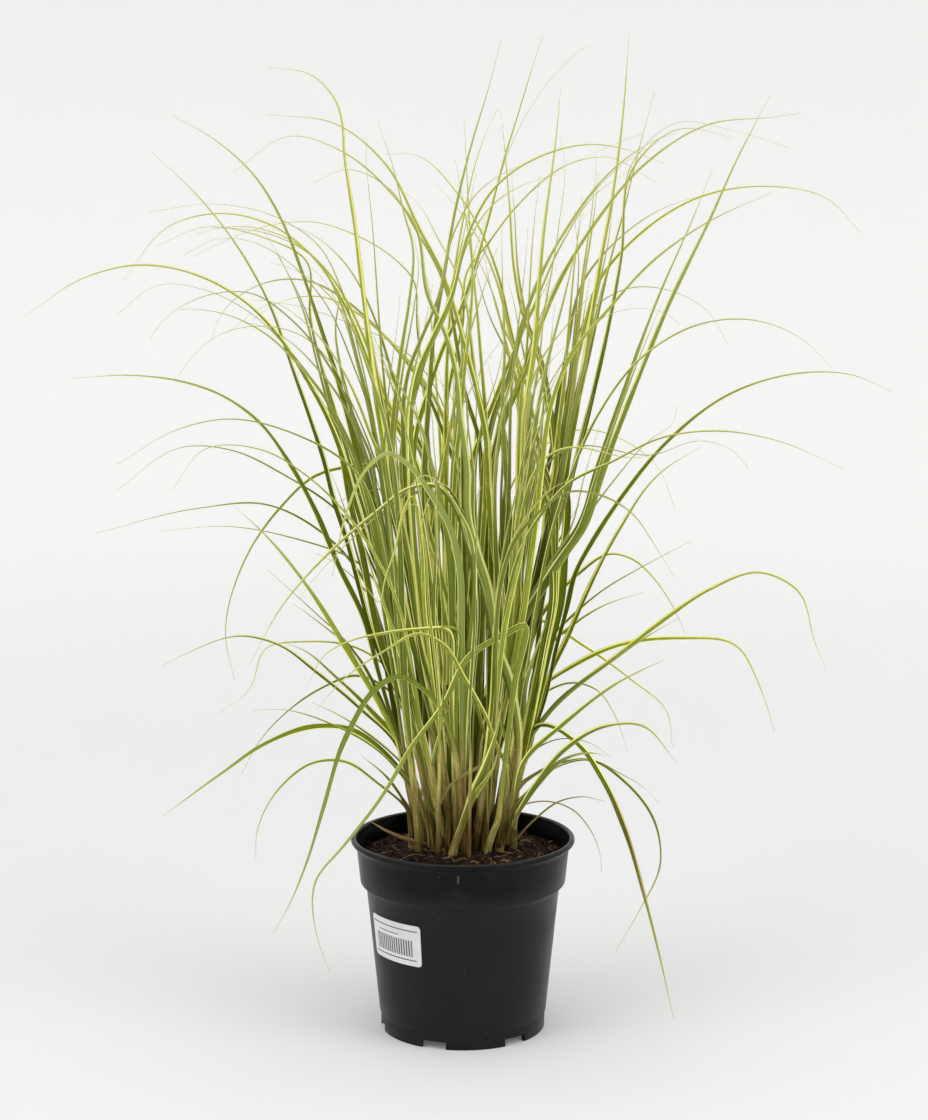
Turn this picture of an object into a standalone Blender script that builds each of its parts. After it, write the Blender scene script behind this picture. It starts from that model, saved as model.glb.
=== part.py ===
"""Potted ornamental grass clump: a nursery pot with label and soil, and fifty-six tillers of striped grass.

Each tiller is one solid, grown as one piece: a sheath that stands on the soil and the long blades that leave it.
A blade is given as it is seen from the front, at a distance, together with how far its tip leans towards the
viewer or away. The depths are then eased apart, so that no blade of one tiller passes through another tiller's.
"""

import math

import bmesh
import bpy
import numpy as np
from mathutils import Vector, kdtree

MM = 0.001
TINY = 1e-6
GAP = 0.3
TURN_STEPS = 40
MERGE_THRESHOLD = 0.00001

# Pot, millimetres
RIM_RADIUS = 95.0
LIP_WIDTH = 4.7
POT_HEIGHT = 166.5
COLLAR_TOP_RADIUS = 90.0
COLLAR_BOTTOM_RADIUS = 87.0
COLLAR_BOTTOM = 127.0
BODY_TOP_RADIUS = 82.0
BODY_TOP = 123.0
BODY_BOTTOM_RADIUS = 71.0
FOOT_TOP = 14.5
FOOT_RADIUS = 69.9
FOOT_WIDTH = 3.6
WALL = 1.7
FLOOR_LOW = 7.5
FLOOR_HIGH = 10.5
FLOOR_ROUND = 1.5
NOTCH_COUNT = 6
NOTCH_FIRST = -20.5  # degrees round from the front
NOTCH_HEIGHT = 6.5
NOTCH_WIDTH = 21.5
NOTCH_DEPTH = 16.0

# Label
LABEL_LEFT = -69.0  # degrees round from the front
LABEL_RIGHT = -26.0
LABEL_LOW = 72.0
LABEL_HIGH = 108.0
LABEL_THICK = 0.4
LABEL_CLEAR = 0.1  # more than the plain gap, because the pot's facets and the label's don't line up
LABEL_STEPS = 10

# Soil
SOIL_EDGE = 149.5
SOIL_RADIUS = 86.7
SOIL_SHOULDER = 153.0
SHOULDER_RADIUS = 68.0
SOIL_CROWN = 157.0
CROWN_RADIUS = 54.0

# Crown: where the tillers stand on the soil
CROWN_Y = 12.0
CROWN_REACH = 47.0
TILLER_SPACING = 10.6
TAKEN_SHARE = 0.9  # of the spacing: a place this near to a seen tiller is taken
SIDE_SHARE = 0.62  # how far a tiller's place follows its blades to the side
DEPTH_SHARE = 0.2  # and towards the viewer or away

# Sheaths
SHEATH_LEAST_RADIUS = 2.1
SHEATH_RADIUS_SHARE = 0.22  # of its widest blade
SHEATH_MIDDLE_SHARE = 0.94
SHEATH_TOP_SHARE = 0.86
SHEATH_SIDES = 5
SHEATH_TOP = 240.0
SHEATH_LEAST_HEIGHT = 22.0
SHEATH_LEAN_SHARE = 0.1  # how much of its blades' lean it has reached at its top
SHEATH_BEND_SIDE = 0.4  # its middle ring, as shares of the way from base to top
SHEATH_BEND_HEIGHT = 0.48
LEAVE_POWER = 1.15  # above 1 it leaves the soil more upright than it goes on

# Blades
EYE_DISTANCE = 2291.5
EYE_HEIGHT = 791.3
BLADE_TILT = 38.0  # degrees that a blade is turned from facing the front
BLADE_ROOT = 9.0  # how deep it starts inside its sheath
INSIDE_SHARE = 0.78  # of the sheath's top, for the blade's width in there
KEEL_SHARE = 0.28
TIP_WIDTH = 0.9
FULL_WIDTH_SHARE = 0.45
TAPER_POWER = 1.6
LEAN_POWER = 1.2
PATH_STEP = 3.0
CORNER_TOLERANCE = 2.4
LEAST_RISE = 6.0  # a seen point lower than this above the sheath's top isn't used
CLEAR_RISE = 12.0  # nor is a first one lower than this

# Easing the depths apart
CLEARANCE = 0.9
DEPTH_MARGIN = 1.12
PUSH_SHARE = 1.3
SETTLE_ROUNDS = 400
ONE_ORDER_BELOW = 300.0  # below this two tillers keep one order, front to back
CARRY_ON = 30.0  # two blades that already touch this close above it keep the order too
CLEAR_LEAD = 6.0  # two bases this far apart, front to back, settle that order

# Blades as the camera sees them: (width mm, tip depth mm, points (x, z) in mm from the lowest seen to the tip)
BLADES = {
    "tiller_left_low": (
        (4.5, 20, ((-57, 251), (-71, 305), (-84, 355), (-105, 400), (-123, 444), (-143, 482),
                   (-170, 520), (-199, 541), (-233, 553), (-270, 558), (-324, 556))),
        (5.0, -25, ((-53, 244), (-69, 276), (-101, 332), (-135, 387), (-168, 428), (-189, 448))),
    ),
    "tiller_left_strong": (
        (4.5, -95, ((-45, 214), (-65, 237), (-97, 259), (-120, 261), (-166, 246), (-204, 220),
                    (-255, 183))),
        (1.8, -130, ((-50, 222), (-75, 243), (-106, 261), (-155, 276), (-177, 275))),
    ),
    "tiller_left_back": (
        (3.0, 80, ((-54, 242), (-85, 275), (-122, 307), (-156, 332), (-186, 339), (-230, 325),
                   (-252, 314))),
        (2.2, 120, ((-48, 226), (-67, 244), (-101, 269), (-127, 282))),
    ),
    "tiller_tall_left": (
        (4.2, 60, ((-46, 350), (-55, 384), (-64, 408), (-74, 437), (-83, 466), (-92, 507),
                   (-98, 531), (-107, 564), (-114, 585), (-132, 641), (-150, 688), (-169, 720),
                   (-201, 750), (-237, 771))),
        (3.4, 20, ((-78, 345), (-88, 385), (-97, 420), (-109, 459), (-115, 485), (-128, 526),
                   (-142, 567), (-159, 616), (-191, 673), (-221, 710), (-254, 741))),
    ),
    "tiller_left_thin": (
        (2.6, -170, ((-72, 460), (-76, 489), (-86, 513), (-98, 542), (-115, 573), (-140, 603),
                     (-174, 626), (-211, 624), (-250, 600), (-258, 588))),
        (2.0, -130, ((-92, 535), (-110, 570), (-129, 589), (-171, 599), (-202, 591), (-227, 569),
                     (-235, 558))),
    ),
    "tiller_left_wide": (
        (3.6, -35, ((-55, 358), (-66, 385), (-77, 411), (-88, 447), (-99, 488), (-110, 518),
                    (-132, 560), (-150, 588), (-177, 617), (-214, 639), (-266, 649), (-310, 639),
                    (-361, 607))),
        (1.6, -110, ((-140, 575), (-171, 607), (-213, 629), (-250, 633), (-284, 609))),
    ),
    "tiller_cross_left": (
        (4.0, 210, ((-5, 478), (-17, 511), (-31, 545), (-53, 577), (-78, 604), (-98, 621),
                    (-127, 636), (-167, 633), (-200, 607), (-207, 588))),
        (1.6, 170, ((-61, 587), (-95, 602), (-117, 610), (-160, 617), (-192, 595))),
    ),
    "tiller_pale_left": (
        (3.0, 190, ((-85, 455), (-93, 483), (-102, 515), (-112, 550), (-119, 573), (-126, 607),
                    (-128, 652), (-165, 672), (-213, 680), (-250, 665))),
        (3.2, 150, ((-50, 506), (-65, 535), (-75, 560), (-88, 595), (-100, 621), (-120, 652),
                    (-154, 680), (-196, 691), (-240, 681), (-279, 637))),
    ),
    "tiller_fine_left": (
        (1.8, -190, ((-88, 560), (-118, 625), (-146, 654), (-180, 670), (-204, 670), (-229, 657))),
        (1.8, -140, ((-84, 570), (-100, 630), (-118, 665), (-152, 688), (-208, 699), (-256, 692))),
    ),
    "tiller_back_left": (
        (2.4, 230, ((-34, 560), (-38, 600), (-41, 638), (-57, 655), (-91, 675), (-120, 684),
                    (-160, 681), (-199, 667), (-221, 656))),
    ),
    "tiller_tall_pair": (
        (5.0, -50, ((-43, 352), (-46, 389), (-55, 432), (-63, 472), (-68, 512), (-73, 545),
                    (-79, 592), (-84, 637), (-89, 681), (-96, 729), (-105, 785), (-121, 802),
                    (-158, 809))),
        (4.0, -20, ((-41, 360), (-50, 425), (-59, 472), (-65, 521), (-72, 564), (-77, 592),
                    (-83, 637), (-92, 700))),
    ),
    "tiller_inner_left": (
        (3.5, -140, ((-38, 340), (-44, 395), (-53, 442), (-60, 488), (-57, 531), (-51, 578),
                     (-44, 621), (-41, 664), (-49, 694), (-55, 722), (-69, 766))),
        (2.4, -170, ((-47, 513), (-53, 540), (-64, 567), (-76, 590), (-85, 610))),
    ),
    "tiller_sweep_left": (
        (4.0, -60, ((32, 342), (30, 383), (24, 420), (20, 470), (19, 498), (12, 540), (4, 571),
                    (-6, 608), (-15, 637), (-36, 679), (-63, 731), (-102, 763), (-159, 771))),
        (3.5, 30, ((19, 400), (15, 470), (12, 507), (2, 540), (-4, 573), (-18, 640), (-39, 678),
                    (-61, 712), (-96, 727), (-122, 716))),
    ),
    "tiller_front_pale": (
        (8.0, -150, ((44, 205), (46, 242), (39, 296), (28, 330), (18, 389), (13, 404), (4, 440),
                     (3, 483), (-3, 526), (-6, 559), (-16, 595), (-28, 620), (-41, 685), (-57, 706),
                     (-96, 740), (-140, 754), (-187, 725))),
    ),
    "tiller_kinked": (
        (3.5, -200, ((-40, 420), (-43, 498), (-42, 534), (-36, 564), (-25, 589), (-10, 621),
                     (6, 678), (27, 713), (65, 738), (107, 747), (143, 740), (165, 731))),
        (4.0, -110, ((-26, 300), (-31, 400), (-32, 470), (-28, 535), (-24, 590), (-16, 637),
                     (-6, 694), (8, 750), (21, 792), (31, 831))),
    ),
    "tiller_tall_centre": (
        (4.0, 40, ((-41, 386), (-42, 465), (-37, 516), (-29, 542), (-17, 578), (-2, 611), (11, 650),
                   (22, 688), (33, 731), (47, 777), (61, 823), (65, 835))),
        (1.4, 70, ((22, 690), (37, 740), (50, 768), (70, 798), (100, 827))),
    ),
    "tiller_yellow_centre": (
        (3.4, -110, ((-8, 400), (-6, 480), (-1, 530), (2, 567), (6, 600), (8, 637), (5, 691),
                     (1, 770))),
        (3.6, -60, ((19, 470), (19, 520), (15, 573), (11, 620), (4, 680), (-6, 735))),
    ),
    "tiller_far_centre": (
        (4.0, 260, ((38, 352), (43, 391), (47, 430), (48, 488), (48, 554), (38, 602), (29, 641),
                    (12, 682), (-5, 708), (-40, 739), (-63, 739))),
        (3.0, 210, ((-9, 560), (0, 600), (4, 645), (20, 666), (45, 698), (86, 731), (116, 737),
                    (159, 716))),
    ),
    "tiller_right_yellow": (
        (5.0, -90, ((50, 420), (51, 497), (53, 535), (59, 578), (62, 621), (66, 671), (76, 750),
                    (80, 796))),
        (2.6, -130, ((47, 450), (56, 550), (61, 580), (69, 621), (79, 683), (83, 735), (79, 755))),
    ),
    "tiller_bent_yellow": (
        (4.4, 110, ((57, 265), (65, 300), (73, 335), (81, 367), (84, 415), (85, 461), (77, 488),
                    (71, 529), (61, 578), (50, 607), (43, 640), (38, 700), (31, 776))),
    ),
    "tiller_diagonal": (
        (4.0, 175, ((-5, 330), (-3, 410), (2, 468), (14, 507), (26, 538), (43, 581), (61, 621),
                    (80, 664), (110, 708), (138, 727))),
        (4.0, 140, ((20, 430), (24, 483), (32, 526), (40, 554), (49, 592), (60, 615), (78, 650))),
    ),
    "tiller_right_sweep": (
        (3.8, -70, ((23, 440), (28, 487), (38, 527), (53, 561), (66, 602), (85, 645), (110, 685),
                    (150, 732), (200, 763), (253, 769), (274, 772))),
    ),
    "tiller_tall_right": (
        (4.8, 30, ((70, 383), (75, 411), (80, 449), (86, 471), (91, 507), (99, 554), (105, 597),
                   (113, 650), (122, 700), (130, 763), (135, 837))),
        (3.2, 70, ((97, 540), (107, 587), (120, 648), (131, 690), (142, 736), (156, 790))),
    ),
    "tiller_right_back": (
        (3.4, 130, ((45, 385), (52, 422), (69, 454), (80, 490), (86, 526), (98, 583), (112, 635),
                    (144, 673), (193, 704), (247, 713), (300, 702), (326, 675))),
        (1.6, 95, ((130, 660), (140, 735), (172, 764), (221, 758), (267, 744))),
    ),
    "tiller_far_right": (
        (5.0, -40, ((51, 350), (62, 370), (84, 405), (101, 430), (118, 480), (143, 548), (173, 623),
                    (203, 687), (223, 733), (250, 787))),
    ),
    "tiller_right_pale": (
        (3.6, -190, ((51, 352), (57, 396), (61, 430), (67, 488), (73, 531), (92, 578), (120, 612),
                     (154, 650), (199, 683), (252, 708))),
        (1.8, -160, ((95, 585), (114, 605), (135, 613), (171, 607), (178, 601))),
    ),
    "tiller_right_droop": (
        (2.4, 200, ((90, 560), (104, 610), (136, 630), (171, 628), (202, 611), (219, 583))),
        (2.4, 240, ((76, 505), (95, 513), (132, 505), (161, 483), (177, 446))),
    ),
    "tiller_right_arch": (
        (3.0, -120, ((88, 470), (112, 525), (150, 575), (197, 601), (239, 604), (279, 589),
                     (305, 565))),
        (1.8, -150, ((100, 500), (158, 492), (197, 504), (228, 493), (237, 481))),
    ),
    "tiller_right_wide": (
        (4.2, 20, ((71, 287), (79, 327), (88, 362), (95, 393), (108, 418), (135, 460), (170, 503),
                   (222, 543), (279, 560), (320, 559), (357, 544))),
        (2.6, 90, ((104, 440), (126, 471), (158, 507), (174, 518), (178, 534))),
    ),
    "tiller_right_level": (
        (2.8, -190, ((64, 440), (88, 468), (124, 486), (161, 505), (211, 512), (264, 503),
                     (317, 480))),
        (3.0, -235, ((62, 442), (88, 461), (115, 458), (142, 442), (159, 418), (177, 389))),
    ),
    "tiller_right_straight": (
        (4.5, 100, ((56, 240), (64, 270), (73, 304), (88, 337), (108, 384), (130, 428), (163, 476),
                    (199, 500))),
    ),
    "tiller_right_fold": (
        (4.0, 180, ((68, 360), (97, 392), (124, 409), (144, 403), (157, 391), (180, 356),
                    (187, 340))),
        (2.6, 150, ((60, 320), (85, 349), (116, 377), (154, 400), (191, 420))),
    ),
    "tiller_right_hook": (
        (4.0, -110, ((50, 250), (86, 286), (129, 321), (172, 355), (208, 379), (248, 393),
                     (280, 378), (296, 332), (306, 310))),
    ),
    "tiller_right_green": (
        (3.5, 225, ((48, 352), (59, 353), (102, 330), (142, 301), (172, 274), (177, 243))),
    ),
    "tiller_right_bow": (
        (4.0, 110, ((58, 285), (93, 313), (131, 331), (183, 337), (229, 331), (250, 295),
                    (263, 257))),
        (2.2, 140, ((52, 270), (69, 290), (92, 299), (111, 294), (130, 267), (139, 239))),
    ),
    "tiller_right_low": (
        (4.2, -200, ((50, 226), (86, 264), (128, 297), (170, 319))),
        (4.2, -225, ((43, 182), (60, 208), (86, 241), (120, 261), (151, 262), (181, 230))),
    ),
    "tiller_front_droop": (
        (4.6, -130, ((50, 250), (65, 262), (97, 246), (118, 216), (137, 172), (155, 111), (168, 60),
                     (181, 5))),
    ),
    "tiller_side_droop": (
        (2.4, -60, ((50, 213), (78, 228), (109, 232), (136, 214), (162, 180), (168, 142), (150, 99),
                    (131, 64))),
    ),
    "tiller_left_fan": (
        (2.4, -200, ((-60, 380), (-95, 484), (-138, 509), (-194, 522), (-237, 513), (-287, 484))),
        (2.2, -240, ((-64, 390), (-95, 440), (-129, 474), (-166, 496), (-216, 496), (-241, 463))),
    ),
    "tiller_left_far": (
        (2.4, 180, ((-70, 385), (-98, 438), (-150, 476), (-192, 496), (-231, 499), (-289, 462))),
        (2.0, 140, ((-98, 334), (-123, 358), (-164, 396))),
    ),
    "tiller_left_level": (
        (2.4, 130, ((-64, 330), (-85, 390), (-118, 427), (-162, 450), (-221, 447), (-307, 426))),
        (2.0, 100, ((-95, 406), (-134, 420), (-195, 432), (-253, 428))),
    ),
    "tiller_big_arch": (
        (4.0, 120, ((-14, 380), (-20, 440), (-45, 476), (-93, 482), (-123, 474), (-149, 451),
                    (-184, 399), (-199, 338), (-192, 301))),
    ),
    "tiller_green_arch": (
        (4.5, -130, ((6, 405), (-4, 440), (-23, 466), (-41, 465), (-70, 445), (-111, 410),
                     (-153, 362), (-179, 315))),
    ),
    "tiller_front_arch": (
        (6.0, -230, ((-2, 340), (-4, 400), (-12, 433), (-26, 458), (-48, 486), (-62, 494),
                     (-76, 484), (-96, 445), (-105, 408), (-109, 390))),
    ),
    "tiller_bent_left": (
        (2.0, 150, ((-62, 310), (-87, 328), (-133, 334), (-165, 329), (-180, 292), (-208, 271))),
        (2.4, 210, ((-60, 290), (-90, 305), (-115, 296), (-143, 278), (-176, 242), (-187, 220))),
    ),
    "tiller_left_tip": (
        (2.4, -150, ((-45, 190), (-70, 210), (-101, 231), (-125, 230), (-153, 210), (-175, 168),
                     (-176, 144))),
        (2.4, -120, ((-48, 197), (-65, 218), (-86, 236))),
    ),
    "tiller_front_hoop": (
        (4.5, -170, ((-6, 240), (-20, 278), (-36, 295), (-55, 304), (-68, 297), (-97, 253),
                     (-118, 189), (-133, 141), (-149, 103), (-162, 80))),
    ),
    "tiller_front_fold": (
        (5.0, -118, ((30, 180), (45, 300), (51, 350), (36, 342), (6, 323), (-17, 279), (-42, 246),
                     (-72, 196), (-102, 157), (-126, 126), (-125, 78), (-114, 46))),
    ),
    "tiller_yellow_arch": (
        (3.2, -230, ((-10, 300), (-15, 345), (-29, 345), (-62, 342), (-101, 332), (-116, 323),
                     (-130, 297))),
    ),
    "tiller_low_arch": (
        (3.2, -250, ((38, 210), (35, 232), (29, 243), (19, 270), (0, 304), (-15, 330), (-36, 341),
                     (-64, 327), (-101, 301), (-123, 276))),
    ),
    "tiller_new_shoot": (
        (9.0, -75, ((-4, 157), (-2, 171), (5, 190), (13, 210), (20, 228), (30, 262), (34, 290))),
        (5.0, -60, ((-1, 175), (8, 196), (16, 209), (25, 222), (30, 240))),
    ),
    "tiller_dark_hook": (
        (3.4, -215, ((-32, 360), (-36, 430), (-42, 459), (-50, 442), (-56, 413), (-65, 387),
                     (-70, 366), (-79, 378), (-90, 397))),
    ),
    "tiller_forward": (
        (4.2, -330, ((6, 260), (10, 350), (12, 430), (16, 466), (20, 470), (24, 452))),
        (3.6, -300, ((8, 280), (18, 370), (30, 450), (40, 490), (46, 492), (52, 470))),
    ),
    "tiller_forward_left": (
        (4.0, -320, ((-20, 280), (-28, 360), (-34, 430), (-40, 452), (-46, 448), (-52, 420))),
        (3.4, -280, ((-16, 300), (-20, 420), (-24, 500), (-30, 540), (-36, 548), (-42, 530))),
    ),
    "tiller_backward": (
        (4.2, 330, ((6, 280), (8, 400), (10, 500), (14, 560), (18, 580), (24, 572))),
        (3.6, 290, ((0, 300), (-6, 420), (-8, 520), (-10, 580), (-14, 600), (-20, 590))),
    ),
    "tiller_backward_left": (
        (4.0, 320, ((-18, 270), (-24, 380), (-30, 470), (-38, 520), (-46, 530), (-54, 512))),
        (3.4, 260, ((-14, 300), (-16, 420), (-20, 520), (-26, 600), (-30, 640), (-38, 656))),
    ),
}

# Tillers whose place on the soil shows in the photograph: (x, y) in mm
SEEN_BASES = {
    "tiller_left_low": (-38.0, 26.0),
    "tiller_left_strong": (-32.0, 6.0),
    "tiller_tall_left": (-17.0, 4.0),
    "tiller_left_wide": (-24.0, -10.0),
    "tiller_new_shoot": (-9.0, -29.0),
    "tiller_sweep_left": (18.5, -12.0),
    "tiller_bent_yellow": (36.5, 3.0),
    "tiller_front_pale": (28.0, 0.0),
    "tiller_low_arch": (31.0, -14.0),
    "tiller_front_hoop": (2.0, -22.0),
    "tiller_front_fold": (20.0, -25.0),
}

CROWN_MIDDLE = Vector((0.0, CROWN_Y))
EYE = Vector((0.0, -EYE_DISTANCE, EYE_HEIGHT))


def along_sight(x, z, depth):
    """The point seen at (x, z) in the plane y = 0, moved along the line of sight to a depth, mm."""
    return EYE + (Vector((x, 0.0, z)) - EYE) * (1.0 + depth / EYE_DISTANCE)


def as_seen(point):
    """Where a point is seen in the plane y = 0."""
    seen = EYE + (point - EYE) / (1.0 + point.y / EYE_DISTANCE)
    return (seen.x, seen.z)


def smooth_path(points):
    """Points a path step apart on a smooth curve through the given 2D points."""
    points = [np.array(p, float) for p in points]
    spans = [max(float(np.linalg.norm(b - a)), TINY) for a, b in zip(points, points[1:])]
    slopes = [(b - a) / span for a, b, span in zip(points, points[1:], spans)]
    tangents = [slopes[0]]
    for before, after, left, right in zip(slopes, slopes[1:], spans, spans[1:]):
        tangents.append((before * right + after * left) / (left + right))
    tangents.append(slopes[-1])
    dense = [points[0]]
    for index, span in enumerate(spans):
        pieces = max(1, math.ceil(span / PATH_STEP))
        for piece in range(1, pieces + 1):
            t = piece / pieces
            start = (2 * t**3 - 3 * t**2 + 1) * points[index]
            end = (3 * t**2 - 2 * t**3) * points[index + 1]
            leave = (t**3 - 2 * t**2 + t) * span * tangents[index]
            arrive = (t**3 - t**2) * span * tangents[index + 1]
            dense.append(start + end + leave + arrive)
    return dense


def corners(dense):
    """Indices of the fewest points that keep a path within the corner tolerance."""
    kept = {0, len(dense) - 1}
    spans = [(0, len(dense) - 1)]
    while spans:
        first, last = spans.pop()
        if last - first < 2:
            continue
        chord = dense[last] - dense[first]
        normal = np.array((-chord[1], chord[0])) / max(float(np.linalg.norm(chord)), TINY)
        gaps = [abs(float((dense[i] - dense[first]) @ normal)) for i in range(first + 1, last)]
        worst = max(range(len(gaps)), key=gaps.__getitem__)
        if gaps[worst] > CORNER_TOLERANCE:
            middle = first + 1 + worst
            kept.add(middle)
            spans += [(first, middle), (middle, last)]
    return sorted(kept)


def crown_places():
    """Places on the soil a tiller's spacing apart, in rows, leaving out those near a place that is taken."""
    places = []
    taken = [Vector(base) for base in SEEN_BASES.values()]
    row_gap = TILLER_SPACING * math.sqrt(3) / 2
    rows = math.ceil(CROWN_REACH / row_gap)
    for row in range(-rows, rows + 1):
        shift = 0.5 * TILLER_SPACING * (row % 2)
        for column in range(-rows, rows + 1):
            place = Vector((column * TILLER_SPACING + shift, row * row_gap))
            if place.length > CROWN_REACH:
                continue
            place.y += CROWN_Y
            if all((place - base).length > TAKEN_SHARE * TILLER_SPACING for base in taken):
                places.append(place)
    return places


def spread_at_sheath(point):
    """About how far to the side a blade first seen at a point has come when it leaves its sheath."""
    rise = max(point[1], SHEATH_TOP) - SOIL_CROWN
    return point[0] * math.sqrt((SHEATH_TOP - SOIL_CROWN) / rise)


def tiller_bases():
    """Each tiller's place on the soil: the free one nearest to the side that its blades lean to."""
    bases = {name: Vector(base) for name, base in SEEN_BASES.items()}
    free = crown_places()
    wishes = []
    for name, blades in BLADES.items():
        low_x = sum(spread_at_sheath(blade[2][0]) for blade in blades) / len(blades)
        depth = sum(blade[1] for blade in blades) / len(blades)
        wishes.append((name, Vector((SIDE_SHARE * low_x, CROWN_Y + DEPTH_SHARE * depth))))
    for name, wanted in sorted(wishes, key=lambda wish: -(wish[1] - CROWN_MIDDLE).length):
        if name in bases:
            continue
        place = min(free, key=lambda spot: (spot - wanted).length)
        free.remove(place)
        bases[name] = place
    return bases


class Blade:
    """One blade: its corners as seen, each one's depth, and its widths."""

    def __init__(self, width, tip_depth, seen, top, top_depth):
        self.width = width / math.cos(math.radians(BLADE_TILT)) ** 0.5
        path = [top] + [point for point in seen if point[1] > top[1] + CLEAR_RISE or point is not seen[0]]
        dense = smooth_path(path)
        steps = [0.0]
        for a, b in zip(dense, dense[1:]):
            steps.append(steps[-1] + float(np.linalg.norm(b - a)))
        kept = corners(dense)
        self.places = [dense[i] for i in kept]
        self.shares = [steps[i] / steps[-1] for i in kept]
        self.depths = [top_depth + (tip_depth - top_depth) * share**LEAN_POWER for share in self.shares]

    def half_width(self, share):
        """Half the blade's width at a share of its length: full at first, then down to a fine tip."""
        fall = max(0.0, (share - FULL_WIDTH_SHARE) / (1.0 - FULL_WIDTH_SHARE))
        return max(0.5 * TIP_WIDTH, 0.5 * self.width * (1.0 - fall**TAPER_POWER))


class Tiller:
    """A sheath on the soil and the blades that it carries."""

    def __init__(self, name, base, blades):
        self.name = name
        widest = max(blade[0] for blade in blades)
        self.radius = SHEATH_LEAST_RADIUS + SHEATH_RADIUS_SHARE * widest
        self.base = Vector((base.x, base.y, SOIL_CROWN + GAP))
        self.seen_base = as_seen(self.base)
        base_x, base_z = self.seen_base
        lowest = min(blade[2][0][1] for blade in blades)
        top_z = max(base_z + SHEATH_LEAST_HEIGHT, min(SHEATH_TOP, lowest))
        tops = []
        for _, _, seen in blades:
            first = next(point for point in seen if point[1] >= top_z or point is seen[-1])
            rise = min(1.0, (top_z - base_z) / max(first[1] - base_z, TINY))
            tops.append(base_x + (first[0] - base_x) * rise**LEAVE_POWER)
        self.top = (sum(tops) / len(tops), top_z)
        lean = sum(blade[1] for blade in blades) / len(blades)
        self.top_depth = base.y + SHEATH_LEAN_SHARE * (lean - base.y)
        bend_x = base_x + SHEATH_BEND_SIDE * (self.top[0] - base_x)
        bend_z = base_z + SHEATH_BEND_HEIGHT * (top_z - base_z)
        self.middle = (bend_x, bend_z)
        self.blades = []
        for width, depth, seen in blades:
            above = [point for point in seen if point[1] > top_z + LEAST_RISE or seen.index(point) > 1]
            self.blades.append(Blade(width, depth, above, self.top, self.top_depth))


def contact_samples(tillers):
    """Every tiller as a row of discs in the picture, and the depths that place them.

    A sample is (tiller, lower knot, upper knot, share between them, x, z, radius, line). The first knot of a
    tiller is its base, the next its sheath's top, and the others are its blades' corners.
    """
    depths = []
    samples = []
    for owner, tiller in enumerate(tillers):
        base_at = len(depths)
        depths += [tiller.base.y, tiller.top_depth]
        bars = []
        sheath = (tiller.seen_base, tiller.middle, tiller.top)
        for half in range(2):
            ends = (base_at, base_at + 1)
            spread = (0.5 * half, 0.5 * half + 0.5)
            bars.append((sheath[half], sheath[half + 1], ends, spread, (tiller.radius,) * 2, base_at))
        for blade in tiller.blades:
            at = base_at + 1
            line = len(depths)
            for index in range(1, len(blade.places)):
                widths = (blade.half_width(blade.shares[index - 1]), blade.half_width(blade.shares[index]))
                ends = (at, len(depths))
                bars.append((blade.places[index - 1], blade.places[index], ends, (0.0, 1.0), widths, line))
                at = len(depths)
                depths.append(blade.depths[index])
        for start, end, (low, high), spread, (near, far), line in bars:
            start = np.array(start)
            end = np.array(end)
            pieces = max(1, math.ceil(float(np.linalg.norm(end - start)) / PATH_STEP))
            for piece in range(pieces + 1):
                part = piece / pieces
                share = spread[0] + (spread[1] - spread[0]) * part
                radius = near + (far - near) * part
                samples.append((owner, low, high, share, *(start + (end - start) * part), radius, line))
    return np.array(depths), samples


def contact_pairs(samples):
    """Pairs of samples of two tillers that meet in the picture, with the depth each pair needs between them."""
    tree = kdtree.KDTree(len(samples))
    for index, sample in enumerate(samples):
        tree.insert((sample[4], sample[5], 0.0), index)
    tree.balance()
    widest = max(sample[6] for sample in samples)
    pairs = []
    for index, sample in enumerate(samples):
        reach = sample[6] + widest + CLEARANCE
        for _, other, distance in tree.find_range((sample[4], sample[5], 0.0), reach):
            second = samples[other]
            needed = sample[6] + second[6] + CLEARANCE
            if other > index and second[0] != sample[0] and distance < needed:
                pairs.append((index, other, DEPTH_MARGIN * math.sqrt(needed**2 - distance**2)))
    return pairs


def pair_order(tillers, samples, pairs, start):
    """Which tiller of each pair stays behind: 1 for the first, -1 for the second.

    Low down two tillers keep one order, and where their bases stand clear of each other it is the bases' order.
    Higher up each two blades keep their own, unless they already touch just above the lower part.
    """
    groups = {}
    for index, (a, b, _) in enumerate(pairs):
        one = samples[a]
        other = samples[b]
        low_down = one[5] < ONE_ORDER_BELOW
        key = (one[0], other[0]) if low_down else (one[0], other[0], one[7], other[7])
        groups.setdefault(key, []).append(index)
    order = np.zeros(len(pairs))
    leads = {}
    for key, members in sorted(groups.items(), key=lambda group: len(group[0])):
        lead = start[members].sum()
        between = tillers[key[0]].base.y - tillers[key[1]].base.y
        lowest = min(samples[pairs[index][0]][5] for index in members)
        if len(key) == 2 and abs(between) > CLEAR_LEAD:
            lead = between
        elif len(key) == 4 and lowest < ONE_ORDER_BELOW + CARRY_ON and key[:2] in leads:
            lead = leads[key[:2]]
        leads[key] = lead
        order[members] = 1.0 if lead >= 0 else -1.0
    return order


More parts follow.
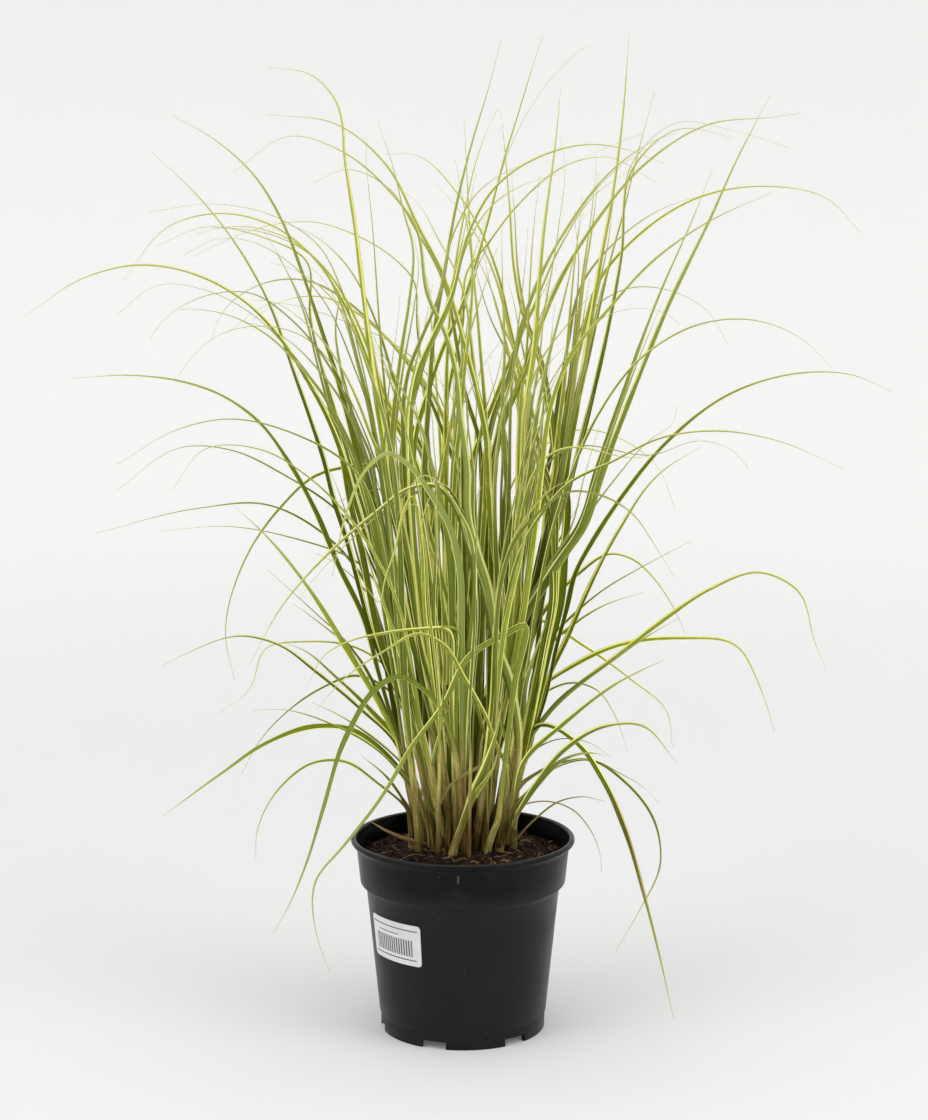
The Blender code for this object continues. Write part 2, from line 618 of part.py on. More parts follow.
def settle(tillers):
    """Eases the depths of the sheaths' tops and the blades' corners apart until the solids clear each other."""
    values, samples = contact_samples(tillers)
    pairs = contact_pairs(samples)
    first = np.array([pair[0] for pair in pairs])
    second = np.array([pair[1] for pair in pairs])
    needed = np.array([pair[2] for pair in pairs])
    low = np.array([sample[1] for sample in samples])
    high = np.array([sample[2] for sample in samples])
    share = np.array([sample[3] for sample in samples])
    bases = [0]
    for tiller in tillers:
        bases.append(bases[-1] + 2 + sum(len(blade.places) - 1 for blade in tiller.blades))
    fixed = bases[:-1]

    def gaps():
        reached = values[low] * (1 - share) + values[high] * share
        return reached[first] - reached[second]

    order = pair_order(tillers, samples, pairs, gaps())
    for _ in range(SETTLE_ROUNDS):
        short = needed - gaps() * order
        bad = short > 0
        if not bad.any():
            break
        push = 0.5 * short[bad] * order[bad]
        moves = np.zeros(len(values))
        weights = np.zeros(len(values))
        for ends, sign in ((first[bad], 1.0), (second[bad], -1.0)):
            for knots, part in ((low[ends], 1 - share[ends]), (high[ends], share[ends])):
                np.add.at(moves, knots, sign * push * part)
                np.add.at(weights, knots, part)
        moves = moves / np.maximum(weights, TINY)
        moves[fixed] = 0.0
        values = values + PUSH_SHARE * moves
    for tiller, base_at in zip(tillers, fixed):
        tiller.top_depth = float(values[base_at + 1])
        at = base_at + 2
        for blade in tiller.blades:
            corner_count = len(blade.places) - 1
            blade.depths = [tiller.top_depth, *values[at:at + corner_count].tolist()]
            at += corner_count


def new_material(name, colour, roughness):
    """A plain finish, from the photograph's colour."""
    material = bpy.data.materials.new(name)
    material.use_nodes = True
    shader = material.node_tree.nodes["Principled BSDF"]
    shader.inputs["Base Color"].default_value = (*colour, 1.0)
    shader.inputs["Roughness"].default_value = roughness
    shader.inputs["Metallic"].default_value = 0.0
    return material


def new_object(name, mesh, material, collection):
    """A mesh object in a collection, with one material."""
    made = bpy.data.objects.new(name, mesh)
    made.data.materials.append(material)
    collection.objects.link(made)
    return made


def helper(made):
    """Keeps a cutter or a joined shape out of the render."""
    made.hide_render = True
    made.display_type = "WIRE"
    return made


def boolean(target, other, operation):
    """Adds or cuts a shape."""
    modifier = target.modifiers.new(operation.title(), "BOOLEAN")
    modifier.operation = operation
    modifier.object = other
    modifier.solver = "EXACT"


def turned(name, profile, material, collection):
    """A turned solid from a profile in mm that starts and ends on the axis and runs down its outer side."""
    mesh = bpy.data.meshes.new(name)
    points = [(radius * MM, 0.0, height * MM) for radius, height in profile]
    mesh.from_pydata(points, [(i, i + 1) for i in range(len(points) - 1)], [])
    made = new_object(name, mesh, material, collection)
    screw = made.modifiers.new("Turn", "SCREW")
    screw.steps = TURN_STEPS
    screw.render_steps = TURN_STEPS
    screw.use_merge_vertices = True
    screw.merge_threshold = MERGE_THRESHOLD
    screw.use_smooth_shade = True
    return made


def loft(name, rings, material, collection):
    """A closed solid through rings of equally many points, mm."""
    shape = bmesh.new()
    loops = [[shape.verts.new(point * MM) for point in ring] for ring in rings]
    for lower, upper in zip(loops, loops[1:]):
        for index in range(len(lower)):
            following = (index + 1) % len(lower)
            shape.faces.new((lower[index], lower[following], upper[following], upper[index]))
    shape.faces.new(reversed(loops[0]))
    shape.faces.new(loops[-1])
    bmesh.ops.recalc_face_normals(shape, faces=shape.faces)
    bmesh.ops.triangulate(shape, faces=shape.faces)
    mesh = bpy.data.meshes.new(name)
    shape.to_mesh(mesh)
    shape.free()
    return new_object(name, mesh, material, collection)


def body_radius(height):
    """The pot body's outer radius at a height."""
    share = (height - FOOT_TOP) / (BODY_TOP - FOOT_TOP)
    return BODY_BOTTOM_RADIUS + (BODY_TOP_RADIUS - BODY_BOTTOM_RADIUS) * share


def make_pot(material, collection, cutters):
    """The pot: thin wall, rolled lip, stepped collar, raised floor and a notched foot ring."""
    lip_in = RIM_RADIUS - LIP_WIDTH
    profile = [
        (0.0, FLOOR_HIGH),
        (body_radius(FLOOR_HIGH) - WALL - FLOOR_ROUND, FLOOR_HIGH),
        (body_radius(FOOT_TOP) - WALL, FOOT_TOP),
        (BODY_TOP_RADIUS - WALL, BODY_TOP - 1.0),
        (COLLAR_BOTTOM_RADIUS - WALL, COLLAR_BOTTOM - 1.0),
        (COLLAR_TOP_RADIUS - WALL, POT_HEIGHT - 9.5),
        (lip_in - 0.6, POT_HEIGHT - 3.0),
        (lip_in, POT_HEIGHT - 0.9),
        (lip_in + 1.4, POT_HEIGHT),
        (RIM_RADIUS - 1.6, POT_HEIGHT - 0.2),
        (RIM_RADIUS - 0.3, POT_HEIGHT - 1.4),
        (RIM_RADIUS, POT_HEIGHT - 3.2),
        (RIM_RADIUS - 0.8, POT_HEIGHT - 5.0),
        (COLLAR_TOP_RADIUS + 1.2, POT_HEIGHT - 7.8),
        (COLLAR_TOP_RADIUS, POT_HEIGHT - 10.5),
        (COLLAR_BOTTOM_RADIUS, COLLAR_BOTTOM),
        (BODY_TOP_RADIUS, BODY_TOP),
        (BODY_BOTTOM_RADIUS, FOOT_TOP),
        (FOOT_RADIUS + 0.3, FOOT_TOP - 0.6),
        (FOOT_RADIUS, 0.0),
        (FOOT_RADIUS - FOOT_WIDTH, 0.0),
        (FOOT_RADIUS - FOOT_WIDTH - 1.0, FLOOR_LOW),
        (0.0, FLOOR_LOW),
    ]
    pot = turned("pot", profile, material, collection)
    for index in range(NOTCH_COUNT):
        angle = math.radians(NOTCH_FIRST + index * 360.0 / NOTCH_COUNT)
        place = Vector((math.sin(angle), -math.cos(angle), 0.0)) * (FOOT_RADIUS - 1.0) * MM
        bpy.ops.mesh.primitive_cube_add(size=1.0, location=place, rotation=(0.0, 0.0, angle))
        cutter = bpy.context.object
        cutter.name = f"notch_{index + 1}"
        cutter.scale = (NOTCH_WIDTH * MM, NOTCH_DEPTH * MM, 2.0 * NOTCH_HEIGHT * MM)
        for owner in list(cutter.users_collection):
            owner.objects.unlink(cutter)
        cutters.objects.link(helper(cutter))
        boolean(pot, cutter, "DIFFERENCE")


def make_soil(material, collection):
    """The potting mix: it fills the pot to just below the lip and rises to a level crown."""
    profile = [
        (0.0, SOIL_CROWN),
        (CROWN_RADIUS, SOIL_CROWN),
        (SHOULDER_RADIUS, SOIL_SHOULDER),
        (SOIL_RADIUS, SOIL_EDGE),
        (COLLAR_BOTTOM_RADIUS - WALL - 2 * GAP, COLLAR_BOTTOM),
        (BODY_TOP_RADIUS - WALL - 2 * GAP, BODY_TOP - 1.0),
        (body_radius(FOOT_TOP) - WALL - 2 * GAP, FOOT_TOP),
        (body_radius(FLOOR_HIGH) - WALL - FLOOR_ROUND - 2 * GAP, FLOOR_HIGH + GAP),
        (0.0, FLOOR_HIGH + GAP),
    ]
    turned("soil", profile, material, collection)


def make_label(material, collection):
    """The sticker, bent round the pot's body."""
    rings = []
    inner = GAP + LABEL_CLEAR
    outer = inner + LABEL_THICK
    for step in range(LABEL_STEPS + 1):
        angle = math.radians(LABEL_LEFT + (LABEL_RIGHT - LABEL_LEFT) * step / LABEL_STEPS)
        outward = Vector((math.sin(angle), -math.cos(angle), 0.0))
        ring = []
        for height, proud in ((LABEL_LOW, inner), (LABEL_HIGH, inner), (LABEL_HIGH, outer), (LABEL_LOW, outer)):
            ring.append(outward * (body_radius(height) + proud) + Vector((0.0, 0.0, height)))
        rings.append(ring)
    loft("label", rings, material, collection)


def sheath_rings(tiller):
    """Rings of the sheath, level on the soil and square to it at its top."""
    top = along_sight(*tiller.top, tiller.top_depth)
    middle = along_sight(*tiller.middle, 0.5 * (tiller.base.y + tiller.top_depth))
    upward = (top - middle).normalized()
    rings = []
    for centre, axis, radius in ((tiller.base, Vector((0, 0, 1)), tiller.radius),
                                 (middle, upward, SHEATH_MIDDLE_SHARE * tiller.radius),
                                 (top, upward, SHEATH_TOP_SHARE * tiller.radius)):
        across = axis.cross(Vector((0, 1, 0))).normalized()
        other = axis.cross(across)
        turns = (2 * math.pi * side / SHEATH_SIDES for side in range(SHEATH_SIDES))
        rings.append([centre + (across * math.cos(a) + other * math.sin(a)) * radius for a in turns])
    return rings


def blade_rings(tiller, blade, turn):
    """Three-cornered rings of a blade: two edges and the keel below them."""
    centres = [along_sight(*place, depth) for place, depth in zip(blade.places, blade.depths)]
    reach = max((centres[0] - tiller.base).length, TINY)
    centres.insert(0, tiller.base.lerp(centres[0], 1.0 - BLADE_ROOT / reach))
    shares = [0.0, *blade.shares]
    rings = []
    for index, (centre, share) in enumerate(zip(centres, shares)):
        before = centres[max(index - 1, 0)]
        after = centres[min(index + 1, len(centres) - 1)]
        tangent = (after - before).normalized()
        sight = (centre - EYE).normalized()
        flat = tangent.cross(sight).normalized()
        deep = tangent.cross(flat).normalized()
        across = flat * math.cos(turn) + deep * math.sin(turn)
        below = deep * math.cos(turn) - flat * math.sin(turn)
        half = blade.half_width(share)
        if index < 2:
            half = min(half, INSIDE_SHARE * SHEATH_TOP_SHARE * tiller.radius)
        rings.append([centre + across * half, centre - across * half, centre + below * 2.0 * half * KEEL_SHARE])
    return rings


def make_tiller(tiller, materials, collection, joined):
    """One tiller: its sheath, joined with each of its blades."""
    made = loft(tiller.name, sheath_rings(tiller), materials["sheath"], collection)
    for index, blade in enumerate(tiller.blades):
        side = 1.0 if (index + len(tiller.name)) % 2 else -1.0
        name = f"{tiller.name}_blade_{index + 1}"
        rings = blade_rings(tiller, blade, side * math.radians(BLADE_TILT))
        boolean(made, helper(loft(name, rings, materials["blade"], joined)), "UNION")


def new_collection(name):
    """A collection in the scene."""
    made = bpy.data.collections.new(name)
    bpy.context.scene.collection.children.link(made)
    return made


def main():
    """Builds the potted clump."""
    for old in list(bpy.data.objects):
        bpy.data.objects.remove(old)
    clump = new_collection("potted_grass_clump")
    cutters = new_collection("cutters")
    joined = new_collection("joined_blades")
    materials = {
        "pot": new_material("black_plastic", (0.014, 0.014, 0.016), 0.45),
        "label": new_material("white_label", (0.80, 0.80, 0.79), 0.5),
        "soil": new_material("potting_mix", (0.035, 0.018, 0.010), 0.95),
        "sheath": new_material("sheath_green", (0.33, 0.34, 0.10), 0.5),
        "blade": new_material("blade_green", (0.22, 0.30, 0.04), 0.45),
    }
    make_pot(materials["pot"], clump, cutters)
    make_soil(materials["soil"], clump)
    make_label(materials["label"], clump)
    bases = tiller_bases()
    tillers = [Tiller(name, bases[name], blades) for name, blades in BLADES.items()]
    settle(tillers)
    for tiller in tillers:
        make_tiller(tiller, materials, clump, joined)


main()
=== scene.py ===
"""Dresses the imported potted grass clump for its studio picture.

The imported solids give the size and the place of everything. Each tiller node is replaced by a detailed one that
follows the same blades: folded, ribbed and striped leaves on wrapped sheaths. The pot, its label and the potting
mix get finer meshes and procedural finishes, and the floor, the lights and the camera follow the photograph.
Lengths are in mm until a mesh is made, and heights that a finish reads are in metres.
"""

import logging
import math
import random
from collections.abc import Sequence
from dataclasses import dataclass, field
from enum import Enum

import bpy
import numpy as np
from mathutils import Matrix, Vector, kdtree, noise


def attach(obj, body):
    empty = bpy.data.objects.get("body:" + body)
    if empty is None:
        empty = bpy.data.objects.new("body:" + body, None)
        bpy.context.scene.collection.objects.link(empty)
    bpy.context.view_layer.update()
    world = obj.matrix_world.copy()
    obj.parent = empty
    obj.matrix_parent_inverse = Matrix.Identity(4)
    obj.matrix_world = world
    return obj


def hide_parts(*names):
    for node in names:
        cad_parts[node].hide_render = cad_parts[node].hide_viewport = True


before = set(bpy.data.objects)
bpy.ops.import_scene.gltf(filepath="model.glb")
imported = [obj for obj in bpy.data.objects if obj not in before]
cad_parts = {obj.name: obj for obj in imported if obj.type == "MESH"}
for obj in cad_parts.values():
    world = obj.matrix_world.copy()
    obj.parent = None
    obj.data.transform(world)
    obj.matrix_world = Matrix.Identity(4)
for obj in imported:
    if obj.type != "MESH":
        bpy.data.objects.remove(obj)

LOG = logging.getLogger("grass_scene")

MM = 0.001
TINY = 1e-6
GAP = 0.3
SOIL_CROWN = 157.0
UP = np.array((0.0, 0.0, 1.0))

# Crown and sheaths, as in the solids
CROWN_MIDDLE = Vector((0.0, 12.0))
CROWN_REACH = 47.0
TILLER_SPACING = 10.6
TAKEN_SHARE = 0.9
SIDE_SHARE = 0.62
DEPTH_SHARE = 0.2
SHEATH_LEAST_RADIUS = 2.1
SHEATH_RADIUS_SHARE = 0.22
SHEATH_TOP_SHARE = 0.86
SHEATH_TOP = 240.0
SHEATH_LEAST_HEIGHT = 22.0
SHEATH_LEAN_SHARE = 0.1
SHEATH_BEND_SIDE = 0.4
SHEATH_BEND_HEIGHT = 0.48
LEAVE_POWER = 1.15

# Blades, as in the solids
EYE_DISTANCE = 2291.5
EYE = Vector((0.0, -EYE_DISTANCE, 791.3))
BLADE_TILT = 38.0
TIP_WIDTH = 0.9
FULL_WIDTH_SHARE = 0.45
TAPER_POWER = 1.6
LEAN_POWER = 1.2
PATH_STEP = 3.0
CORNER_TOLERANCE = 2.4
LEAST_RISE = 6.0
CLEAR_RISE = 12.0
CLEARANCE = 0.9
DEPTH_MARGIN = 1.12
PUSH_SHARE = 1.3
SETTLE_ROUNDS = 400
ONE_ORDER_BELOW = 300.0
CARRY_ON = 30.0
EASE_ROUNDS = 30
CLEAR_LEAD = 6.0

Point2 = tuple[float, float]
Point3 = tuple[float, float, float]
Row = tuple[float, ...]
Seen = Sequence[Point2]

# The leaves as the camera sees them, by tiller. A row is its width and its tip's depth, mm, and then x, z
# of each point traced on the photograph, from the lowest one seen to the tip
BLADES: dict[str, tuple[Row, ...]] = {
    "left_low": ((4.5, 20, -57, 251, -71, 305, -84, 355, -105, 400, -123, 444, -143, 482, -170, 520, -199, 541,
        -233, 553, -270, 558, -324, 556), (5, -25, -53, 244, -69, 276, -101, 332, -135, 387, -168, 428, -189, 448)),
    "left_strong": ((4.5, -95, -45, 214, -65, 237, -97, 259, -120, 261, -166, 246, -204, 220, -255, 183), (1.8, -130,
        -50, 222, -75, 243, -106, 261, -155, 276, -177, 275)),
    "left_back": ((3, 80, -54, 242, -85, 275, -122, 307, -156, 332, -186, 339, -230, 325, -252, 314), (2.2, 120,
        -48, 226, -67, 244, -101, 269, -127, 282)),
    "tall_left": ((4.2, 60, -46, 350, -55, 384, -64, 408, -74, 437, -83, 466, -92, 507, -98, 531, -107, 564, -114, 585,
        -132, 641, -150, 688, -169, 720, -201, 750, -237, 771), (3.4, 20, -78, 345, -88, 385, -97, 420, -109, 459,
        -115, 485, -128, 526, -142, 567, -159, 616, -191, 673, -221, 710, -254, 741)),
    "left_thin": ((2.6, -170, -72, 460, -76, 489, -86, 513, -98, 542, -115, 573, -140, 603, -174, 626, -211, 624,
        -250, 600, -258, 588), (2, -130, -92, 535, -110, 570, -129, 589, -171, 599, -202, 591, -227, 569, -235, 558)),
    "left_wide": ((3.6, -35, -55, 358, -66, 385, -77, 411, -88, 447, -99, 488, -110, 518, -132, 560, -150, 588,
        -177, 617, -214, 639, -266, 649, -310, 639, -361, 607), (1.6, -110, -140, 575, -171, 607, -213, 629, -250, 633,
        -284, 609)),
    "cross_left": ((4, 210, -5, 478, -17, 511, -31, 545, -53, 577, -78, 604, -98, 621, -127, 636, -167, 633, -200, 607,
        -207, 588), (1.6, 170, -61, 587, -95, 602, -117, 610, -160, 617, -192, 595)),
    "pale_left": ((3, 190, -85, 455, -93, 483, -102, 515, -112, 550, -119, 573, -126, 607, -128, 652, -165, 672,
        -213, 680, -250, 665), (3.2, 150, -50, 506, -65, 535, -75, 560, -88, 595, -100, 621, -120, 652, -154, 680,
        -196, 691, -240, 681, -279, 637)),
    "fine_left": ((1.8, -190, -88, 560, -118, 625, -146, 654, -180, 670, -204, 670, -229, 657), (1.8, -140, -84, 570,
        -100, 630, -118, 665, -152, 688, -208, 699, -256, 692)),
    "back_left": ((2.4, 230, -34, 560, -38, 600, -41, 638, -57, 655, -91, 675, -120, 684, -160, 681, -199, 667,
        -221, 656),),
    "tall_pair": ((5, -50, -43, 352, -46, 389, -55, 432, -63, 472, -68, 512, -73, 545, -79, 592, -84, 637, -89, 681,
        -96, 729, -105, 785, -121, 802, -158, 809), (4, -20, -41, 360, -50, 425, -59, 472, -65, 521, -72, 564,
        -77, 592, -83, 637, -92, 700)),
    "inner_left": ((3.5, -140, -38, 340, -44, 395, -53, 442, -60, 488, -57, 531, -51, 578, -44, 621, -41, 664,
        -49, 694, -55, 722, -69, 766), (2.4, -170, -47, 513, -53, 540, -64, 567, -76, 590, -85, 610)),
    "sweep_left": ((4, -60, 32, 342, 30, 383, 24, 420, 20, 470, 19, 498, 12, 540, 4, 571, -6, 608, -15, 637, -36, 679,
        -63, 731, -102, 763, -159, 771), (3.5, 30, 19, 400, 15, 470, 12, 507, 2, 540, -4, 573, -18, 640, -39, 678,
        -61, 712, -96, 727, -122, 716)),
    "front_pale": ((8, -150, 44, 205, 46, 242, 39, 296, 28, 330, 18, 389, 13, 404, 4, 440, 3, 483, -3, 526, -6, 559,
        -16, 595, -28, 620, -41, 685, -57, 706, -96, 740, -140, 754, -187, 725),),
    "kinked": ((3.5, -200, -40, 420, -43, 498, -42, 534, -36, 564, -25, 589, -10, 621, 6, 678, 27, 713, 65, 738,
        107, 747, 143, 740, 165, 731), (4, -110, -26, 300, -31, 400, -32, 470, -28, 535, -24, 590, -16, 637, -6, 694,
        8, 750, 21, 792, 31, 831)),
    "tall_centre": ((4, 40, -41, 386, -42, 465, -37, 516, -29, 542, -17, 578, -2, 611, 11, 650, 22, 688, 33, 731,
        47, 777, 61, 823, 65, 835), (1.4, 70, 22, 690, 37, 740, 50, 768, 70, 798, 100, 827)),
    "yellow_centre": ((3.4, -110, -8, 400, -6, 480, -1, 530, 2, 567, 6, 600, 8, 637, 5, 691, 1, 770), (3.6, -60,
        19, 470, 19, 520, 15, 573, 11, 620, 4, 680, -6, 735)),
    "far_centre": ((4, 260, 38, 352, 43, 391, 47, 430, 48, 488, 48, 554, 38, 602, 29, 641, 12, 682, -5, 708, -40, 739,
        -63, 739), (3, 210, -9, 560, 0, 600, 4, 645, 20, 666, 45, 698, 86, 731, 116, 737, 159, 716)),
    "right_yellow": ((5, -90, 50, 420, 51, 497, 53, 535, 59, 578, 62, 621, 66, 671, 76, 750, 80, 796), (2.6, -130,
        47, 450, 56, 550, 61, 580, 69, 621, 79, 683, 83, 735, 79, 755)),
    "bent_yellow": ((4.4, 110, 57, 265, 65, 300, 73, 335, 81, 367, 84, 415, 85, 461, 77, 488, 71, 529, 61, 578,
        50, 607, 43, 640, 38, 700, 31, 776),),
    "diagonal": ((4, 175, -5, 330, -3, 410, 2, 468, 14, 507, 26, 538, 43, 581, 61, 621, 80, 664, 110, 708, 138, 727),
        (4, 140, 20, 430, 24, 483, 32, 526, 40, 554, 49, 592, 60, 615, 78, 650)),
    "right_sweep": ((3.8, -70, 23, 440, 28, 487, 38, 527, 53, 561, 66, 602, 85, 645, 110, 685, 150, 732, 200, 763,
        253, 769, 274, 772),),
    "tall_right": ((4.8, 30, 70, 383, 75, 411, 80, 449, 86, 471, 91, 507, 99, 554, 105, 597, 113, 650, 122, 700,
        130, 763, 135, 837), (3.2, 70, 97, 540, 107, 587, 120, 648, 131, 690, 142, 736, 156, 790)),
    "right_back": ((3.4, 130, 45, 385, 52, 422, 69, 454, 80, 490, 86, 526, 98, 583, 112, 635, 144, 673, 193, 704,
        247, 713, 300, 702, 326, 675), (1.6, 95, 130, 660, 140, 735, 172, 764, 221, 758, 267, 744)),
    "far_right": ((5, -40, 51, 350, 62, 370, 84, 405, 101, 430, 118, 480, 143, 548, 173, 623, 203, 687, 223, 733,
        250, 787),),
    "right_pale": ((3.6, -190, 51, 352, 57, 396, 61, 430, 67, 488, 73, 531, 92, 578, 120, 612, 154, 650, 199, 683,
        252, 708), (1.8, -160, 95, 585, 114, 605, 135, 613, 171, 607, 178, 601)),
    "right_droop": ((2.4, 200, 90, 560, 104, 610, 136, 630, 171, 628, 202, 611, 219, 583), (2.4, 240, 76, 505, 95, 513,
        132, 505, 161, 483, 177, 446)),
    "right_arch": ((3, -120, 88, 470, 112, 525, 150, 575, 197, 601, 239, 604, 279, 589, 305, 565), (1.8, -150,
        100, 500, 158, 492, 197, 504, 228, 493, 237, 481)),
    "right_wide": ((4.2, 20, 71, 287, 79, 327, 88, 362, 95, 393, 108, 418, 135, 460, 170, 503, 222, 543, 279, 560,
        320, 559, 357, 544), (2.6, 90, 104, 440, 126, 471, 158, 507, 174, 518, 178, 534)),
    "right_level": ((2.8, -190, 64, 440, 88, 468, 124, 486, 161, 505, 211, 512, 264, 503, 317, 480), (3, -235, 62, 442,
        88, 461, 115, 458, 142, 442, 159, 418, 177, 389)),
    "right_straight": ((4.5, 100, 56, 240, 64, 270, 73, 304, 88, 337, 108, 384, 130, 428, 163, 476, 199, 500),),
    "right_fold": ((4, 180, 68, 360, 97, 392, 124, 409, 144, 403, 157, 391, 180, 356, 187, 340), (2.6, 150, 60, 320,
        85, 349, 116, 377, 154, 400, 191, 420)),
    "right_hook": ((4, -110, 50, 250, 86, 286, 129, 321, 172, 355, 208, 379, 248, 393, 280, 378, 296, 332, 306, 310),),
    "right_green": ((3.5, 225, 48, 352, 59, 353, 102, 330, 142, 301, 172, 274, 177, 243),),
    "right_bow": ((4, 110, 58, 285, 93, 313, 131, 331, 183, 337, 229, 331, 250, 295, 263, 257), (2.2, 140, 52, 270,
        69, 290, 92, 299, 111, 294, 130, 267, 139, 239)),
    "right_low": ((4.2, -200, 50, 226, 86, 264, 128, 297, 170, 319), (4.2, -225, 43, 182, 60, 208, 86, 241, 120, 261,
        151, 262, 181, 230)),
    "front_droop": ((4.6, -130, 50, 250, 65, 262, 97, 246, 118, 216, 137, 172, 155, 111, 168, 60, 181, 5),),
    "side_droop": ((2.4, -60, 50, 213, 78, 228, 109, 232, 136, 214, 162, 180, 168, 142, 150, 99, 131, 64),),
    "left_fan": ((2.4, -200, -60, 380, -95, 484, -138, 509, -194, 522, -237, 513, -287, 484), (2.2, -240, -64, 390,
        -95, 440, -129, 474, -166, 496, -216, 496, -241, 463)),
    "left_far": ((2.4, 180, -70, 385, -98, 438, -150, 476, -192, 496, -231, 499, -289, 462), (2, 140, -98, 334,
        -123, 358, -164, 396)),
    "left_level": ((2.4, 130, -64, 330, -85, 390, -118, 427, -162, 450, -221, 447, -307, 426), (2, 100, -95, 406,
        -134, 420, -195, 432, -253, 428)),
    "big_arch": ((4, 120, -14, 380, -20, 440, -45, 476, -93, 482, -123, 474, -149, 451, -184, 399, -199, 338,
        -192, 301),),
    "green_arch": ((4.5, -130, 6, 405, -4, 440, -23, 466, -41, 465, -70, 445, -111, 410, -153, 362, -179, 315),),
    "front_arch": ((6, -230, -2, 340, -4, 400, -12, 433, -26, 458, -48, 486, -62, 494, -76, 484, -96, 445, -105, 408,
        -109, 390),),
    "bent_left": ((2, 150, -62, 310, -87, 328, -133, 334, -165, 329, -180, 292, -208, 271), (2.4, 210, -60, 290,
        -90, 305, -115, 296, -143, 278, -176, 242, -187, 220)),
    "left_tip": ((2.4, -150, -45, 190, -70, 210, -101, 231, -125, 230, -153, 210, -175, 168, -176, 144), (2.4, -120,
        -48, 197, -65, 218, -86, 236)),
    "front_hoop": ((4.5, -170, -6, 240, -20, 278, -36, 295, -55, 304, -68, 297, -97, 253, -118, 189, -133, 141,
        -149, 103, -162, 80),),
    "front_fold": ((5, -118, 30, 180, 45, 300, 51, 350, 36, 342, 6, 323, -17, 279, -42, 246, -72, 196, -102, 157,
        -126, 126, -125, 78, -114, 46),),
    "yellow_arch": ((3.2, -230, -10, 300, -15, 345, -29, 345, -62, 342, -101, 332, -116, 323, -130, 297),),
    "low_arch": ((3.2, -250, 38, 210, 35, 232, 29, 243, 19, 270, 0, 304, -15, 330, -36, 341, -64, 327, -101, 301,
        -123, 276),),
    "new_shoot": ((9, -75, -4, 157, -2, 171, 5, 190, 13, 210, 20, 228, 30, 262, 34, 290), (5, -60, -1, 175, 8, 196,
        16, 209, 25, 222, 30, 240)),
    "dark_hook": ((3.4, -215, -32, 360, -36, 430, -42, 459, -50, 442, -56, 413, -65, 387, -70, 366, -79, 378,
        -90, 397),),
    "forward": ((4.2, -330, 6, 260, 10, 350, 12, 430, 16, 466, 20, 470, 24, 452), (3.6, -300, 8, 280, 18, 370, 30, 450,
        40, 490, 46, 492, 52, 470)),
    "forward_left": ((4, -320, -20, 280, -28, 360, -34, 430, -40, 452, -46, 448, -52, 420), (3.4, -280, -16, 300,
        -20, 420, -24, 500, -30, 540, -36, 548, -42, 530)),
    "backward": ((4.2, 330, 6, 280, 8, 400, 10, 500, 14, 560, 18, 580, 24, 572), (3.6, 290, 0, 300, -6, 420, -8, 520,
        -10, 580, -14, 600, -20, 590)),
    "backward_left": ((4, 320, -18, 270, -24, 380, -30, 470, -38, 520, -46, 530, -54, 512), (3.4, 260, -14, 300,
        -16, 420, -20, 520, -26, 600, -30, 640, -38, 656)),
}

# Tillers whose place on the soil shows: x, y
SEEN_BASES: dict[str, Point2] = {
    "left_low": (-38, 26), "left_strong": (-32, 6), "tall_left": (-17, 4), "left_wide": (-24, -10),
    "new_shoot": (-9, -29), "sweep_left": (18.5, -12), "bent_yellow": (36.5, 3), "front_pale": (28, 0),
    "low_arch": (31, -14), "front_hoop": (2, -22), "front_fold": (20, -25),
}

# Finer leaves seen beside them. A row is a tone, a width, the tip's depth, and the points
EXTRA_LEAVES: dict[str, tuple] = {
    "diagonal": ("STRIPED", 3, 60, 0, 560, 2, 637, 10, 660, 16, 680, 20, 695),
    "far_centre": ("GREEN", 1.2, 200, 60, 712, 86, 731, 101, 737, 118, 745, 147, 756),
    "right_back": ("GREEN", 3.4, 60, 104, 590, 116, 650, 119, 665, 122, 690, 124, 705),
    "left_strong": ("GREEN", 3, -60, -74, 479, -70, 467, -66, 454, -59, 434, -56, 420),
    "left_low": ("STRIPED", 3, 10, -60, 400, -64, 434, -68, 447, -73, 454, -81, 464),
    "big_arch": ("GREEN", 4, 40, -41, 386, -42, 406, -43, 425, -44, 464, -48, 500),
    "green_arch": ("YELLOW", 4.4, -60, -22, 396, -24, 406, -28, 415, -31, 449, -33, 480),
    "inner_left": ("GREEN", 4, -120, -23, 472, -26, 483, -35, 516, -53, 552, -62, 569, -76, 594),
    "sweep_left": ("YELLOW", 4, -30, -45, 500, -48, 514, -55, 540, -67, 568, -76, 585),
    "right_level": ("YELLOW", 4.6, -100, 42, 377, 48, 401, 52, 425, 57, 449, 64, 476),
    "front_pale": ("STRIPED", 2.5, -90, 26, 330, 33, 405, 44, 459, 56, 505, 70, 532),
    "right_yellow": ("GREEN", 5, -60, 47, 239, 48, 265, 53, 297, 62, 327, 71, 353),
}

